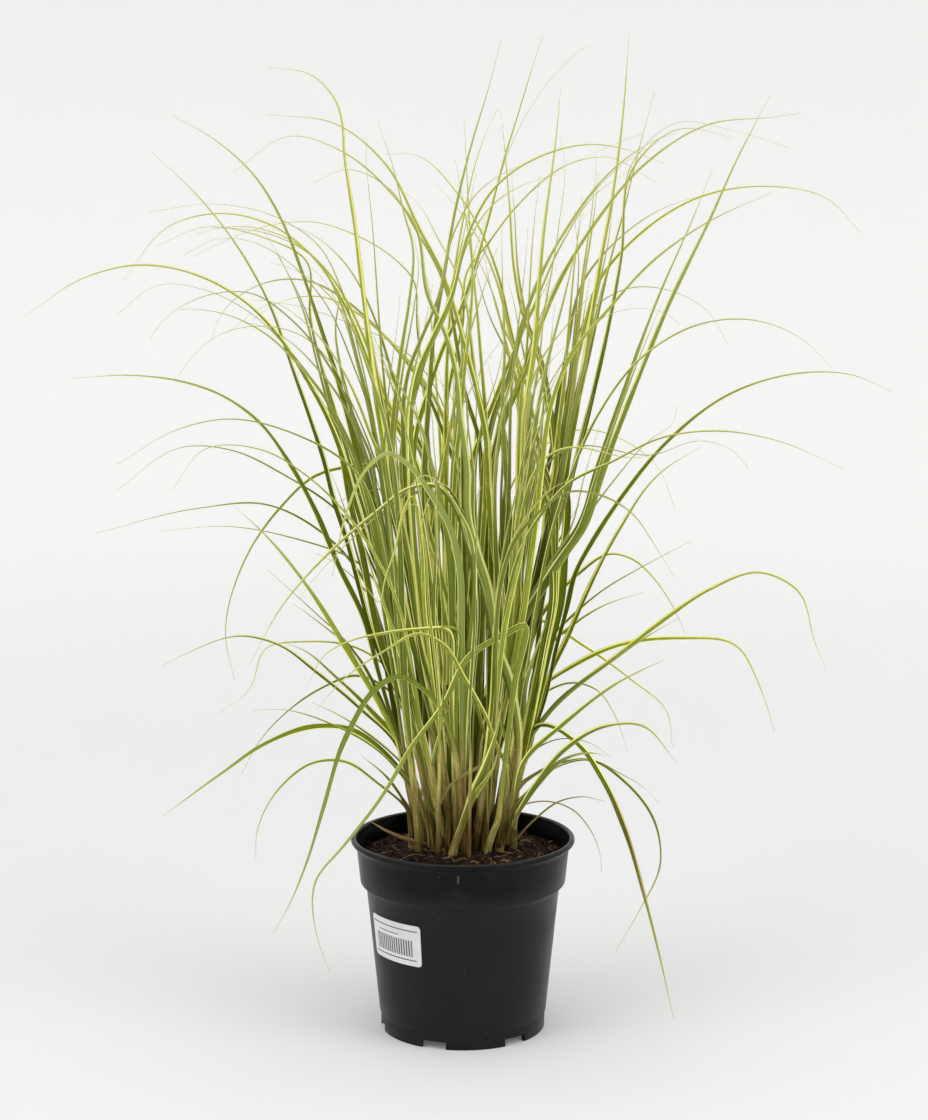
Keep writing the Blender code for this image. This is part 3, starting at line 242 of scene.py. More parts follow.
# Shoots of their own beside a tiller. A row is a tone, a width, the foot's and the tip's depth, and the points
SHOOTS: dict[str, tuple] = {
    "left_strong": (("DARK", 3.6, -16, -34, -14, 156, -19, 175, -23, 182, -30, 195, -37, 207, -45, 219), ("STALK", 3.4,
        -10, -66, -24, 158, -40, 161, -50, 163, -63, 169, -79, 179)),
    "left_tip": (("PALE", 4.4, -20, -40, -18, 156, -24, 200, -26, 223, -21, 249, -14, 271, -10, 285), ("GREEN", 4.8,
        -24, 60, -27, 156, -30, 190, -34, 240, -37, 300, -38, 350)),
    "front_hoop": (("DARK", 4, -22, 70, 2, 156, 1, 190, 0, 229, -2, 250, -6, 300, -12, 360), ("DARK", 4.2, -26, 70,
        -13, 156, -12, 186, -12, 240, -14, 300, -20, 352), ("TAN", 2.5, -30, -52, -22, 190, -13, 206, -5, 215, 7, 222,
        31, 236, 53, 244)),
    "low_arch": (("TAN", 3.8, -20, 0, 31, 156, 33, 176, 34, 195, 36, 213, 40, 250), ("TAN", 1.6, -14, 30, 40, 154,
        47, 165, 61, 180, 82, 196, 101, 200, 121, 196), ("TAN", 1.2, -14, -50, 42, 170, 47, 190, 65, 196, 91, 190,
        110, 168, 117, 148, 118, 135)),
    "side_droop": (("GREEN", 1.6, 0, -20, 40, 190, 60, 210, 80, 226, 109, 232, 132, 221, 156, 206, 166, 195), ("GREEN",
        1.2, 8, 30, 40, 200, 60, 240, 80, 250, 107, 247, 126, 234)),
}


def paired(values: Sequence[float]) -> Seen:
    """A row's x and z values as points."""
    return tuple(zip(values[::2], values[1::2]))


def along_sight(x: float, z: float, depth: float) -> Vector:
    """The point seen at (x, z) in the plane y = 0, moved along the line of sight to a depth."""
    return EYE + (Vector((x, 0.0, z)) - EYE) * (1.0 + depth / EYE_DISTANCE)


def smooth_path(seen: Seen) -> list[np.ndarray]:
    """Points a path step apart on a smooth curve through the seen ones.

    Args:
        seen: Points in the plane y = 0.

    Returns:
        The path's points, the seen ones among them.
    """
    points = [np.array(point, float) for point in seen]
    spans = [max(float(np.linalg.norm(b - a)), TINY) for a, b in zip(points, points[1:])]
    slopes = [(b - a) / span for a, b, span in zip(points, points[1:], spans)]
    turned = [(before * right + after * left) / (left + right)
              for before, after, left, right in zip(slopes, slopes[1:], spans, spans[1:])]
    tangents = [slopes[0], *turned, slopes[-1]]
    dense = [points[0]]
    for index, span in enumerate(spans):
        pieces = max(1, math.ceil(span / PATH_STEP))
        for t in (piece / pieces for piece in range(1, pieces + 1)):
            dense.append((2 * t**3 - 3 * t**2 + 1) * points[index] + (3 * t**2 - 2 * t**3) * points[index + 1]
                         + (t**3 - 2 * t**2 + t) * span * tangents[index] + (t**3 - t**2) * span * tangents[index + 1])
    return dense


def corners(dense: list[np.ndarray]) -> list[int]:
    """Indices of the fewest points that keep a path within the corner tolerance.

    Args:
        dense: The path.

    Returns:
        The indices, in order.
    """
    kept = {0, len(dense) - 1}
    spans = [(0, len(dense) - 1)]
    while spans:
        first, last = spans.pop()
        if last - first < 2:
            continue
        chord = dense[last] - dense[first]
        normal = np.array((-chord[1], chord[0])) / max(float(np.linalg.norm(chord)), TINY)
        gaps = [abs(float((dense[i] - dense[first]) @ normal)) for i in range(first + 1, last)]
        worst = max(range(len(gaps)), key=gaps.__getitem__)
        if gaps[worst] > CORNER_TOLERANCE:
            middle = first + 1 + worst
            kept.add(middle)
            spans += [(first, middle), (middle, last)]
    return sorted(kept)


def crown_places() -> list[Vector]:
    """Places on the soil a tiller's spacing apart, in rows, leaving out those near a place that is taken.

    Returns:
        The free places, from the front to the back.
    """
    places = []
    row_gap = TILLER_SPACING * math.sqrt(3) / 2
    rows = math.ceil(CROWN_REACH / row_gap)
    for row in range(-rows, rows + 1):
        for column in range(-rows, rows + 1):
            place = Vector((column * TILLER_SPACING + 0.5 * TILLER_SPACING * (row % 2), row * row_gap))
            if place.length > CROWN_REACH:
                continue
            place += CROWN_MIDDLE
            if all((place - Vector(base)).length > TAKEN_SHARE * TILLER_SPACING for base in SEEN_BASES.values()):
                places.append(place)
    return places


def spread_at_sheath(x: float, z: float) -> float:
    """About how far to the side a blade first seen at a point has come when it leaves its sheath."""
    return x * math.sqrt((SHEATH_TOP - SOIL_CROWN) / (max(z, SHEATH_TOP) - SOIL_CROWN))


def tiller_bases() -> dict[str, Vector]:
    """Each tiller's place on the soil: the free one nearest to the side that its blades lean to.

    Returns:
        The places by the tillers' names.
    """
    bases = {name: Vector(base) for name, base in SEEN_BASES.items()}
    free = crown_places()
    wishes = []
    for name, rows in BLADES.items():
        low_x = sum(spread_at_sheath(*row[2:4]) for row in rows) / len(rows)
        depth = sum(row[1] for row in rows) / len(rows)
        wishes.append((name, Vector((SIDE_SHARE * low_x, CROWN_MIDDLE.y + DEPTH_SHARE * depth))))
    for name, wanted in sorted(wishes, key=lambda wish: -(wish[1] - CROWN_MIDDLE).length):
        if name not in bases:
            bases[name] = min(free, key=lambda spot: (spot - wanted).length)
            free.remove(bases[name])
    return bases


class Blade:
    """One blade: its corners as seen, each one's depth, and its widths."""

    def __init__(self, width: float, tip_depth: float, seen: Seen, top: Point2, top_depth: float) -> None:
        """Draws the blade's path from its sheath's top.

        Args:
            width: Its seen width.
            tip_depth: How far behind the plane y = 0 its tip is.
            seen: Its points in that plane.
            top: Where it leaves the sheath.
            top_depth: The depth there.
        """
        self.seen_width = width
        self.width = width / math.cos(math.radians(BLADE_TILT)) ** 0.5
        self.dense = smooth_path([top] + [point for point in seen
                                          if point[1] > top[1] + CLEAR_RISE or point is not seen[0]])
        self.steps = [0.0]
        for a, b in zip(self.dense, self.dense[1:]):
            self.steps.append(self.steps[-1] + float(np.linalg.norm(b - a)))
        self.kept = corners(self.dense)
        self.places = [self.dense[i] for i in self.kept]
        self.shares = [self.steps[i] / self.steps[-1] for i in self.kept]
        self.depths = [top_depth + (tip_depth - top_depth) * share**LEAN_POWER for share in self.shares]

    def half_width(self, share: float) -> float:
        """Half the solid blade's width at a share of its length: full at first, then down to a fine tip."""
        fall = max(0.0, (share - FULL_WIDTH_SHARE) / (1.0 - FULL_WIDTH_SHARE))
        return max(0.5 * TIP_WIDTH, 0.5 * self.width * (1.0 - fall**TAPER_POWER))

    def centres(self) -> np.ndarray:
        """The blade's line in space: as seen from the front, at its settled depths, eased between them.

        Returns:
            Its points, from the sheath's top to the tip.
        """
        depths = smoothed(np.interp(self.steps, [self.steps[i] for i in self.kept], self.depths), EASE_ROUNDS)
        seen = np.array([(x, 0.0, z) for x, z in self.dense])
        return np.array(EYE) + (seen - np.array(EYE)) * (1.0 + depths / EYE_DISTANCE)[:, None]

    def seen_half(self, share: float) -> float:
        """Half its width as the photograph shows it, at a share of its length: the widest narrow the soonest.

        Args:
            share: The share.

        Returns:
            The half width.
        """
        wide = self.seen_width > WIDE_LEAF
        upright = self.dense[-1][1] > UPRIGHT_ABOVE and self.seen_width > NARROW_LEAF
        fuller = SEEN_FULLER if upright and not wide else 1.0
        tip, power = WIDE_TIP if wide else FINE_TIP
        rise = min(1.0, FOOT_WIDTH_SHARE + FOOT_GROWTH * share)
        left = min(1.0, max(0.0, 1.0 - share) / tip)
        return max(FINEST_HALF, 0.5 * fuller * self.seen_width * rise * left**power)


class Tiller:
    """A sheath on the soil and the blades that it carries."""

    def __init__(self, name: str, base: Vector, rows: Sequence[Row]) -> None:
        """Places the sheath and its blades.

        Args:
            name: Its name without the word tiller.
            base: Its place on the soil.
            rows: Its blades as traced.
        """
        self.name = name
        blades = [(row[0], row[1], paired(row[2:])) for row in rows]
        self.radius = SHEATH_LEAST_RADIUS + SHEATH_RADIUS_SHARE * max(row[0] for row in rows)
        self.base = Vector((base.x, base.y, SOIL_CROWN + GAP))
        seen_base = EYE + (self.base - EYE) / (1.0 + self.base.y / EYE_DISTANCE)
        self.seen_base = (seen_base.x, seen_base.z)
        base_x, base_z = self.seen_base
        top_z = max(base_z + SHEATH_LEAST_HEIGHT, min(SHEATH_TOP, *(row[3] for row in rows)))
        tops = []
        for _, _, seen in blades:
            first = next(point for point in seen if point[1] >= top_z or point is seen[-1])
            rise = min(1.0, (top_z - base_z) / max(first[1] - base_z, TINY))
            tops.append(base_x + (first[0] - base_x) * rise**LEAVE_POWER)
        self.top = (sum(tops) / len(tops), top_z)
        lean = sum(row[1] for row in rows) / len(rows)
        self.top_depth = base.y + SHEATH_LEAN_SHARE * (lean - base.y)
        self.middle = (base_x + SHEATH_BEND_SIDE * (self.top[0] - base_x),
                       base_z + SHEATH_BEND_HEIGHT * (top_z - base_z))
        self.blades = []
        for width, depth, seen in blades:
            above = [point for point in seen if point[1] > top_z + LEAST_RISE or seen.index(point) > 1]
            self.blades.append(Blade(width, depth, above, self.top, self.top_depth))

    def sheath_line(self) -> np.ndarray:
        """The middle of the sheath, from just under the soil to its top.

        Returns:
            Its points, upwards.
        """
        base = np.array(self.base)
        middle = np.array(along_sight(*self.middle, 0.5 * (self.base.y + self.top_depth)))
        top = np.array(along_sight(*self.top, self.top_depth))
        t = np.linspace(0.0, 1.0, SHEATH_STATIONS)[:, None]
        line = (1 - t) ** 2 * base + 2 * t * (1 - t) * (2.0 * middle - 0.5 * (base + top)) + t**2 * top
        return np.concatenate([[base - ROOTED * UP], line])


def contact_samples(tillers: list[Tiller]) -> tuple[np.ndarray, list[tuple]]:
    """Every tiller as a row of discs in the picture, and the depths that place them.

    A sample is (tiller, lower knot, upper knot, share between them, x, z, radius, line). The first knot of a
    tiller is its base, the next its sheath's top, and the others are its blades' corners.

    Args:
        tillers: All the tillers.

    Returns:
        The knots' depths and the samples.
    """
    depths: list[float] = []
    samples = []
    for owner, tiller in enumerate(tillers):
        foot = len(depths)
        depths += [tiller.base.y, tiller.top_depth]
        sheath = (tiller.seen_base, tiller.middle, tiller.top)
        bars = [(sheath[half], sheath[half + 1], (foot, foot + 1), (0.5 * half, 0.5 * half + 0.5),
                 (tiller.radius,) * 2, foot) for half in range(2)]
        for blade in tiller.blades:
            at = foot + 1
            line = len(depths)
            for index in range(1, len(blade.places)):
                widths = (blade.half_width(blade.shares[index - 1]), blade.half_width(blade.shares[index]))
                bars.append((*blade.places[index - 1:index + 1], (at, len(depths)), (0.0, 1.0), widths, line))
                at = len(depths)
                depths.append(blade.depths[index])
        for start, end, (low, high), spread, (near, far), line in bars:
            start, end = np.array(start), np.array(end)
            pieces = max(1, math.ceil(float(np.linalg.norm(end - start)) / PATH_STEP))
            for part in (piece / pieces for piece in range(pieces + 1)):
                samples.append((owner, low, high, spread[0] + (spread[1] - spread[0]) * part,
                                *(start + (end - start) * part), near + (far - near) * part, line))
    return np.array(depths), samples


def contact_pairs(samples: list[tuple]) -> list[tuple[int, int, float]]:
    """Pairs of samples of two tillers that meet in the picture, with the depth each pair needs between them.

    Args:
        samples: The samples of all tillers.

    Returns:
        (one sample, the other, needed depth) for each pair.
    """
    tree = kdtree.KDTree(len(samples))
    for index, sample in enumerate(samples):
        tree.insert((sample[4], sample[5], 0.0), index)
    tree.balance()
    widest = max(sample[6] for sample in samples)
    pairs = []
    for index, sample in enumerate(samples):
        reach = sample[6] + widest + CLEARANCE
        for _, other, distance in tree.find_range((sample[4], sample[5], 0.0), reach):
            second = samples[other]
            needed = sample[6] + second[6] + CLEARANCE
            if other > index and second[0] != sample[0] and distance < needed:
                pairs.append((index, other, DEPTH_MARGIN * math.sqrt(needed**2 - distance**2)))
    return pairs


def pair_order(tillers: list[Tiller], samples: list[tuple], pairs: list[tuple], start: np.ndarray) -> np.ndarray:
    """Which tiller of each pair stays behind.

    Low down two tillers keep one order, and where their bases stand clear of each other it is the bases' order.
    Higher up each two blades keep their own, unless they already touch just above the lower part.

    Args:
        tillers: All the tillers.
        samples: Their samples.
        pairs: The pairs that meet.
        start: How far the first of each pair starts behind the second.

    Returns:
        1 for the first, -1 for the second.
    """
    groups: dict[tuple, list[int]] = {}
    for index, (a, b, _) in enumerate(pairs):
        one, other = samples[a], samples[b]
        key = (one[0], other[0]) if one[5] < ONE_ORDER_BELOW else (one[0], other[0], one[7], other[7])
        groups.setdefault(key, []).append(index)
    order = np.zeros(len(pairs))
    leads: dict[tuple, float] = {}
    for key, members in sorted(groups.items(), key=lambda group: len(group[0])):
        lead = start[members].sum()
        between = tillers[key[0]].base.y - tillers[key[1]].base.y
        lowest = min(samples[pairs[index][0]][5] for index in members)
        if len(key) == 2 and abs(between) > CLEAR_LEAD:
            lead = between
        elif len(key) == 4 and lowest < ONE_ORDER_BELOW + CARRY_ON and key[:2] in leads:
            lead = leads[key[:2]]
        leads[key] = lead
        order[members] = 1.0 if lead >= 0 else -1.0
    return order


def settle(tillers: list[Tiller]) -> None:
    """Eases the depths of the sheaths' tops and the blades' corners apart until the solids clear each other.

    Args:
        tillers: All the tillers, whose depths change.
    """
    values, samples = contact_samples(tillers)
    pairs = contact_pairs(samples)
    first, second, needed = (np.array([pair[item] for pair in pairs]) for item in range(3))
    low, high, share = (np.array([sample[item] for sample in samples]) for item in (1, 2, 3))
    bases = [0]
    for tiller in tillers:
        bases.append(bases[-1] + 2 + sum(len(blade.places) - 1 for blade in tiller.blades))

    def gaps() -> np.ndarray:
        """How far the first of each pair is behind the second."""
        reached = values[low] * (1 - share) + values[high] * share
        return reached[first] - reached[second]

    order = pair_order(tillers, samples, pairs, gaps())
    for _ in range(SETTLE_ROUNDS):
        short = needed - gaps() * order
        bad = short > 0
        if not bad.any():
            break
        push = 0.5 * short[bad] * order[bad]
        moves, weights = np.zeros((2, len(values)))
        for ends, sign in ((first[bad], 1.0), (second[bad], -1.0)):
            for knots, part in ((low[ends], 1 - share[ends]), (high[ends], share[ends])):
                np.add.at(moves, knots, sign * push * part)
                np.add.at(weights, knots, part)
        moves = moves / np.maximum(weights, TINY)
        moves[bases[:-1]] = 0.0
        values = values + PUSH_SHARE * moves
    for tiller, foot in zip(tillers, bases):
        tiller.top_depth = float(values[foot + 1])
        at = foot + 2
        for blade in tiller.blades:
            after = at + len(blade.places) - 1
            blade.depths = [tiller.top_depth, *values[at:after].tolist()]
            at = after


def srgb(red: int, green: int, blue: int) -> Point3:
    """A colour read off the photograph as 8-bit sRGB, as the linear colour a shader needs."""
    shares = (value / 255.0 for value in (red, green, blue))
    return tuple(v / 12.92 if v <= 0.04045 else ((v + 0.055) / 1.055) ** 2.4 for v in shares)


@dataclass(frozen=True)
class Wire:
    """One output of a node, on which plain arithmetic adds the next node."""

    graph: "Graph"
    socket: bpy.types.NodeSocket

    def __add__(self, other: object) -> "Wire":
        """The sum."""
        return self.graph.math("ADD", self, other)

    def __sub__(self, other: object) -> "Wire":
        """The difference."""
        return self.graph.math("SUBTRACT", self, other)

    def __rsub__(self, other: object) -> "Wire":
        """The difference from a plain number."""
        return self.graph.math("SUBTRACT", other, self)

    def __mul__(self, other: object) -> "Wire":
        """The product."""
        return self.graph.math("MULTIPLY", self, other)

    def __gt__(self, other: object) -> "Wire":
        """1 where this is the greater one, and otherwise 0."""
        return self.graph.math("GREATER_THAN", self, other)

    def __lt__(self, other: object) -> "Wire":
        """1 where this is the lesser one, and otherwise 0."""
        return self.graph.math("LESS_THAN", self, other)

    __radd__ = __add__
    __rmul__ = __mul__


@dataclass(frozen=True)
class Graph:
    """A node tree while it is being wired."""

    tree: bpy.types.NodeTree

    @staticmethod
    def socket(sockets: Sequence[bpy.types.NodeSocket], key: int | str) -> bpy.types.NodeSocket:
        """A node's socket by its place, or by its name among those in use."""
        return sockets[key] if isinstance(key, int) else next(s for s in sockets if s.name == key and s.enabled)

    def feed(self, socket: bpy.types.NodeSocket, source: object) -> None:
        """Links a socket to an output, or sets it to a plain value.

        Args:
            socket: The input.
            source: The output or the value.
        """
        if isinstance(source, Wire):
            self.tree.links.new(source.socket, socket)
        else:
            socket.default_value = (*source, 1.0) if socket.type == "RGBA" else source

    def add(self, kind: str, feeds: dict | None = None, out: int | str = 0, **settings: object) -> Wire:
        """A new node.

        Args:
            kind: Its type.
            feeds: What goes into its inputs, by place or name.
            out: Which output is wanted.
            settings: Its other settings.

        Returns:
            The wanted output.
        """
        node = self.tree.nodes.new(kind)
        for name, value in settings.items():
            setattr(node, name, value)
        for key, source in (feeds or {}).items():
            self.feed(self.socket(node.inputs, key), source)
        return Wire(self, self.socket(node.outputs, out))

    def math(self, operation: str, *values: object, clamp: bool = False) -> Wire:
        """One arithmetic step."""
        return self.add("ShaderNodeMath", dict(enumerate(values)), operation=operation, use_clamp=clamp)

    def most(self, first: object, *others: object) -> Wire:
        """The greatest of some values.

        Args:
            first: One value.
            others: The rest.

        Returns:
            The greatest.
        """
        for other in others:
            first = self.math("MAXIMUM", first, other)
        return first

    def fract(self, value: Wire) -> Wire:
        """What is left of a value over its whole part."""
        return self.math("FRACT", value)

    def reach(self, x: Wire, y: Wire) -> Wire:
        """How far a place is from the upright axis."""
        return self.math("SQRT", x * x + y * y)

    def step(self, value: object, low: object, high: object) -> Wire:
        """A smooth step from 0 at low to 1 at high."""
        return self.add("ShaderNodeMapRange", {"Value": value, "From Min": low, "From Max": high},
                        interpolation_type="SMOOTHSTEP")

    def span(self, value: object, low: float, high: float) -> Wire:
        """A value from 0 to 1 spread over a range."""
        return self.add("ShaderNodeMapRange", {"Value": value, "To Min": low, "To Max": high})

    def mix(self, share: object, first: object, second: object, blend: str = "MIX") -> Wire:
        """Two colours mixed."""
        return self.add("ShaderNodeMix", {"Factor": share, "A": first, "B": second}, "Result",
                        data_type="RGBA", blend_type=blend)

    def noise(self, vector: object, scale: float, detail: float = 3.0, rough: float = 0.55) -> Wire:
        """Noise from 0 to 1 over a vector."""
        return self.add("ShaderNodeTexNoise",
                        {"Vector": vector, "Scale": scale, "Detail": detail, "Roughness": rough}, "Fac")

    def cells(self, vector: object, scale: float, out: str) -> Wire:
        """Over a vector, the distance to the nearest cell's middle, or a colour of the cell's own."""
        return self.add("ShaderNodeTexVoronoi", {"Vector": vector, "Scale": scale}, out)

    def vector(self, x: object, y: object, z: object) -> Wire:
        """Three values as one vector."""
        return self.add("ShaderNodeCombineXYZ", {0: x, 1: y, 2: z})

    def scaled(self, vector: object, scale: Point3) -> Wire:
        """A vector stretched along its axes."""
        return self.add("ShaderNodeVectorMath", {0: vector, 1: scale}, operation="MULTIPLY")

    def parts(self, vector: object) -> list[Wire]:
        """A vector's three values."""
        first = self.add("ShaderNodeSeparateXYZ", {0: vector})
        return [Wire(self, output) for output in first.socket.node.outputs]

    def carried(self, name: str, out: str = "Vector") -> Wire:
        """What the mesh carries under a name."""
        return self.add("ShaderNodeAttribute", out=out, attribute_name=name)

    def place(self, kind: str = "Object") -> Wire:
        """Object or UV coordinates."""
        return self.add("ShaderNodeTexCoord", out=kind)

    def group(self, tree: bpy.types.NodeTree, **values: object) -> dict[str, Wire]:
        """A shared group placed among these nodes.

        Args:
            tree: The group.
            values: What goes into its inputs by name, an underscore standing for a space.

        Returns:
            Its outputs by name.
        """
        feeds = {name.replace("_", " "): value for name, value in values.items()}
        first = self.add("ShaderNodeGroup", feeds, node_tree=tree)
        return {output.name: Wire(self, output) for output in first.socket.node.outputs}

    def bump(self, height: object, distance: float, strength: float = 1.0) -> Wire:
        """A bumped normal from a height."""
        return self.add("ShaderNodeBump", {"Height": height, "Distance": distance, "Strength": strength})


def new_tree(name: str, kind: str, inputs: dict[str, str], outputs: dict[str, str]) -> tuple[Graph, dict, dict]:
    """An empty shader or geometry group with named sockets.

    Args:
        name: The group's name.
        kind: Its type.
        inputs: Each input's name and socket type.
        outputs: Each output's name and socket type.

    Returns:
        The graph to wire, the group's inputs as sources by name and its outputs as targets by name.
    """
    tree = bpy.data.node_groups.new(name, kind)
    for sockets, way in ((inputs, "INPUT"), (outputs, "OUTPUT")):
        for label, socket in sockets.items():
            tree.interface.new_socket(label, in_out=way, socket_type=f"NodeSocket{socket}")
    graph = Graph(tree)
    given = {socket.name: Wire(graph, socket) for socket in tree.nodes.new("NodeGroupInput").outputs}
    return graph, given, {socket.name: socket for socket in tree.nodes.new("NodeGroupOutput").inputs}


@dataclass(frozen=True)
class Surface:
    """What a finish feeds into the shader, and the values that stay the same all over."""

    colour: Wire
    roughness: Wire
    normal: Wire | None = None
    specular: float = 0.5
    glow: Wire | None = None


@dataclass(frozen=True)
class Finish:
    """A finish of the part, by its material's name."""

    name: str

    def paint(self, graph: Graph) -> Surface:
        """Wires the nodes and says what goes into the shader.

        Args:
            graph: The material's nodes.

        Returns:
            What the shader takes from them.
        """
        raise NotImplementedError

    def material(self) -> bpy.types.Material:
        """The finish as a material.

        Returns:
            The new material.
        """
        made = bpy.data.materials.new(self.name)
        made.use_nodes = True
        graph = Graph(made.node_tree)
        shader = made.node_tree.nodes["Principled BSDF"]
        surface = self.paint(graph)
        for label, source in (("Base Color", surface.colour), ("Roughness", surface.roughness),
                              ("Normal", surface.normal), ("Emission Color", surface.glow)):
            if source is not None:
                graph.feed(shader.inputs[label], source)
        shader.inputs["Specular IOR Level"].default_value = surface.specular
        if surface.glow is not None:
            shader.inputs["Emission Strength"].default_value = 1.0
        return made


def linked(name: str, mesh: bpy.types.Mesh, *materials: bpy.types.Material) -> bpy.types.Object:
    """Puts a mesh into the scene.

    Args:
        name: The object's name.
        mesh: The mesh.
        materials: Its materials, in the order of their slots.

    Returns:
        The object.
    """
    made = bpy.data.objects.new(name, mesh)
    for material in materials:
        mesh.materials.append(material)
    bpy.context.scene.collection.objects.link(made)
    return made


def dressed(made: bpy.types.Object, node: str | None = None) -> bpy.types.Object:
    """Hands a finished piece to the frame.

    Args:
        made: The piece.
        node: The solid that it replaces, if it does.

    Returns:
        The piece.
    """
    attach(made, "root")
    if node:
        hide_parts(node)
    LOG.info("%s has %d faces", made.name, len(made.data.polygons))
    return made


def ringed_mesh(name: str, rings: np.ndarray, first: Point3, last: Point3 | None = None) -> bpy.types.Mesh:
    """A smooth mesh of rings, from a point in its middle outwards, its faces on the outside.

    Args:
        name: The mesh's name.
        rings: Points as (rings, points round, 3), in mm.
        first: The point that closes the first ring.
        last: The one that closes the last ring, if that isn't left open.

    Returns:
        The mesh, in metres.
    """
    count, turns, _ = rings.shape
    faces: list[tuple[int, ...]] = []
    for step in range(turns):
        after = (step + 1) % turns
        faces.append((0, 1 + step, 1 + after))
        for low in range(1, 1 + (count - 1) * turns, turns):
            faces.append((low + step, low + turns + step, low + turns + after, low + after))
        if last:
            end = 1 + (count - 1) * turns
            faces.append((end + turns, end + after, end + step))
    points = [first, *rings.reshape(-1, 3), *([last] if last else [])]
    mesh = bpy.data.meshes.new(name)
    mesh.from_pydata(np.array(points) * MM, [], faces)
    mesh.polygons.foreach_set("use_smooth", [True] * len(faces))
    return mesh


def circles(profile: Sequence[Point2], turns: int) -> np.ndarray:
    """Rings of points round the upright axis, one for each (radius, height)."""
    angles = np.linspace(0.0, 2.0 * math.pi, turns, endpoint=False)
    return np.array([[(r * math.cos(a), r * math.sin(a), z) for a in angles] for r, z in profile])


def shell_faces(grid: np.ndarray, start: int = 0) -> list[tuple[int, ...]]:
    """The corners of a closed tube's faces: round each ring in turn, and then its two ends.

    Args:
        grid: Points as (rings, points round, 3), each ring closed.
        start: The number of its first point.

    Returns:
        Corners by point, seen from inside or from outside as the rings happen to run.
    """
    rings, around, _ = grid.shape
    faces: list[tuple[int, ...]] = []
    for low in range(start, start + (rings - 1) * around, around):
        for column in range(around):
            after = (column + 1) % around
            faces.append((low + column, low + after, low + around + after, low + around + column))
    last = start + (rings - 1) * around
    return [*faces, tuple(range(start, start + around))[::-1], tuple(range(last, last + around))]


@dataclass
class MeshParts:
    """Shells gathered into one mesh, with their places on the leaf and their looks."""

    points: list[np.ndarray] = field(default_factory=list)
    faces: list[tuple[int, ...]] = field(default_factory=list)
    places: list[Point2] = field(default_factory=list)
    slots: list[int] = field(default_factory=list)
    looks: list[np.ndarray] = field(default_factory=list)
    seeds: list[np.ndarray] = field(default_factory=list)
    count: int = 0

    def add_grid(self, grid: np.ndarray, across: np.ndarray, along: np.ndarray, look: Sequence[float],
                 seed: Sequence[float], slot: int) -> None:
        """Adds a closed tube-like shell and turns its faces outwards.

        Args:
            grid: Points as (rings, points round, 3), each ring closed.
            across: The u at which each of the faces round a ring starts and ends.
            along: The v of each ring.
            look: Three values that the material reads for the whole shell.
            seed: Three more.
            slot: Which material.
        """
        rings, around, _ = grid.shape
        self.points.append(grid.reshape(-1, 3))
        self.looks.append(np.tile(look, (rings * around, 1)))
        self.seeds.append(np.tile(seed, (rings * around, 1)))
        uvs = [[(left, low), (right, low), (right, high), (left, high)]
               for low, high in zip(along, along[1:]) for left, right in across]
        uvs += [[(u, along[0]) for u, _ in across[::-1]], [(u, along[-1]) for u, _ in across]]
        middle = grid.mean(axis=1)
        at = rings // 2
        spokes = grid[at] - middle[at]
        area = np.cross(spokes, np.roll(spokes, -1, axis=0)).sum(axis=0)
        outward = area @ (middle[min(at + 1, rings - 1)] - middle[max(at - 1, 0)]) > 0.0
        for ids, places in zip(shell_faces(grid, self.count), uvs):
            self.faces.append(ids if outward else ids[::-1])
            self.places += places if outward else places[::-1]
        self.slots += [slot] * len(uvs)
        self.count += rings * around

    def build(self, name: str, materials: Sequence[bpy.types.Material]) -> bpy.types.Object:
        """The gathered shells as one object, in metres.

        Args:
            name: The object's name.
            materials: Its material slots.

        Returns:
            The object, linked to the scene.
        """
        mesh = bpy.data.meshes.new(name)
        mesh.from_pydata(np.concatenate(self.points) * MM, [], self.faces)
        mesh.uv_layers.new(name="leaf").uv.foreach_set("vector", np.array(self.places, np.float32).ravel())
        for label, rows in (("look", self.looks), ("seed", self.seeds)):
            values = np.concatenate(rows).astype(np.float32)
            mesh.attributes.new(label, "FLOAT_VECTOR", "POINT").data.foreach_set("vector", values.ravel())
        mesh.polygons.foreach_set("material_index", self.slots)
        mesh.polygons.foreach_set("use_smooth", [True] * len(self.faces))
        mesh.update()
        return linked(name, mesh, *materials)


class Tone(Enum):
    """How a leaf is coloured: how yellow, how pale and how dry, each from 0 to 1."""

    GREEN = (0.30, 0.02, 0.05)
    STRIPED = (0.55, 0.04, 0.05)
    YELLOW = (0.90, 0.05, 0.05)
    PALE = (0.50, 0.50, 0.05)
    DARK = (0.08, 0.00, 0.10)
    TAN = (0.40, 0.40, 0.70)
    STALK = (0.10, 0.00, 1.10)


COLUMNS = np.array([-1.0, -0.66, -0.3, 0.0, 0.3, 0.66, 1.0])  # points across a leaf, its keel at 0
LEAF_THICK = 0.26
STATION_STEP = 5.0
MOST_TURN = math.radians(50.0)  # how far a leaf is turned from facing the front
MOST_WIDENED = 0.62  # the least share of its width that it may show
TWIST = 0.22
WRAP_HALF_ANGLE = 2.1
WRAP_GAP = 0.2
WRAP_NARROWS = 0.82  # the share of its radius that a wrapped foot keeps at its top
FACES_UP = 0.75
FACES_IN = 0.65
TURN_ROUNDS = 12
KEEL_SOFTNESS = 0.03
RIPPLE_SHARE = 0.06
RIPPLE_LENGTH = 9.0
THICK_HALF = 1.6  # from this half width on a leaf has its full thickness
EDGE_THINNER = 0.7
FOLDS = ((0.0, 0.25, 0.7, 1.0), (0.72, 0.42, 0.42, 0.8))  # how far each half is lifted, in radians, along a leaf


def unit(rows: np.ndarray) -> np.ndarray:
    """Each row at length 1."""
    return rows / np.maximum(np.linalg.norm(rows, axis=-1, keepdims=True), TINY)


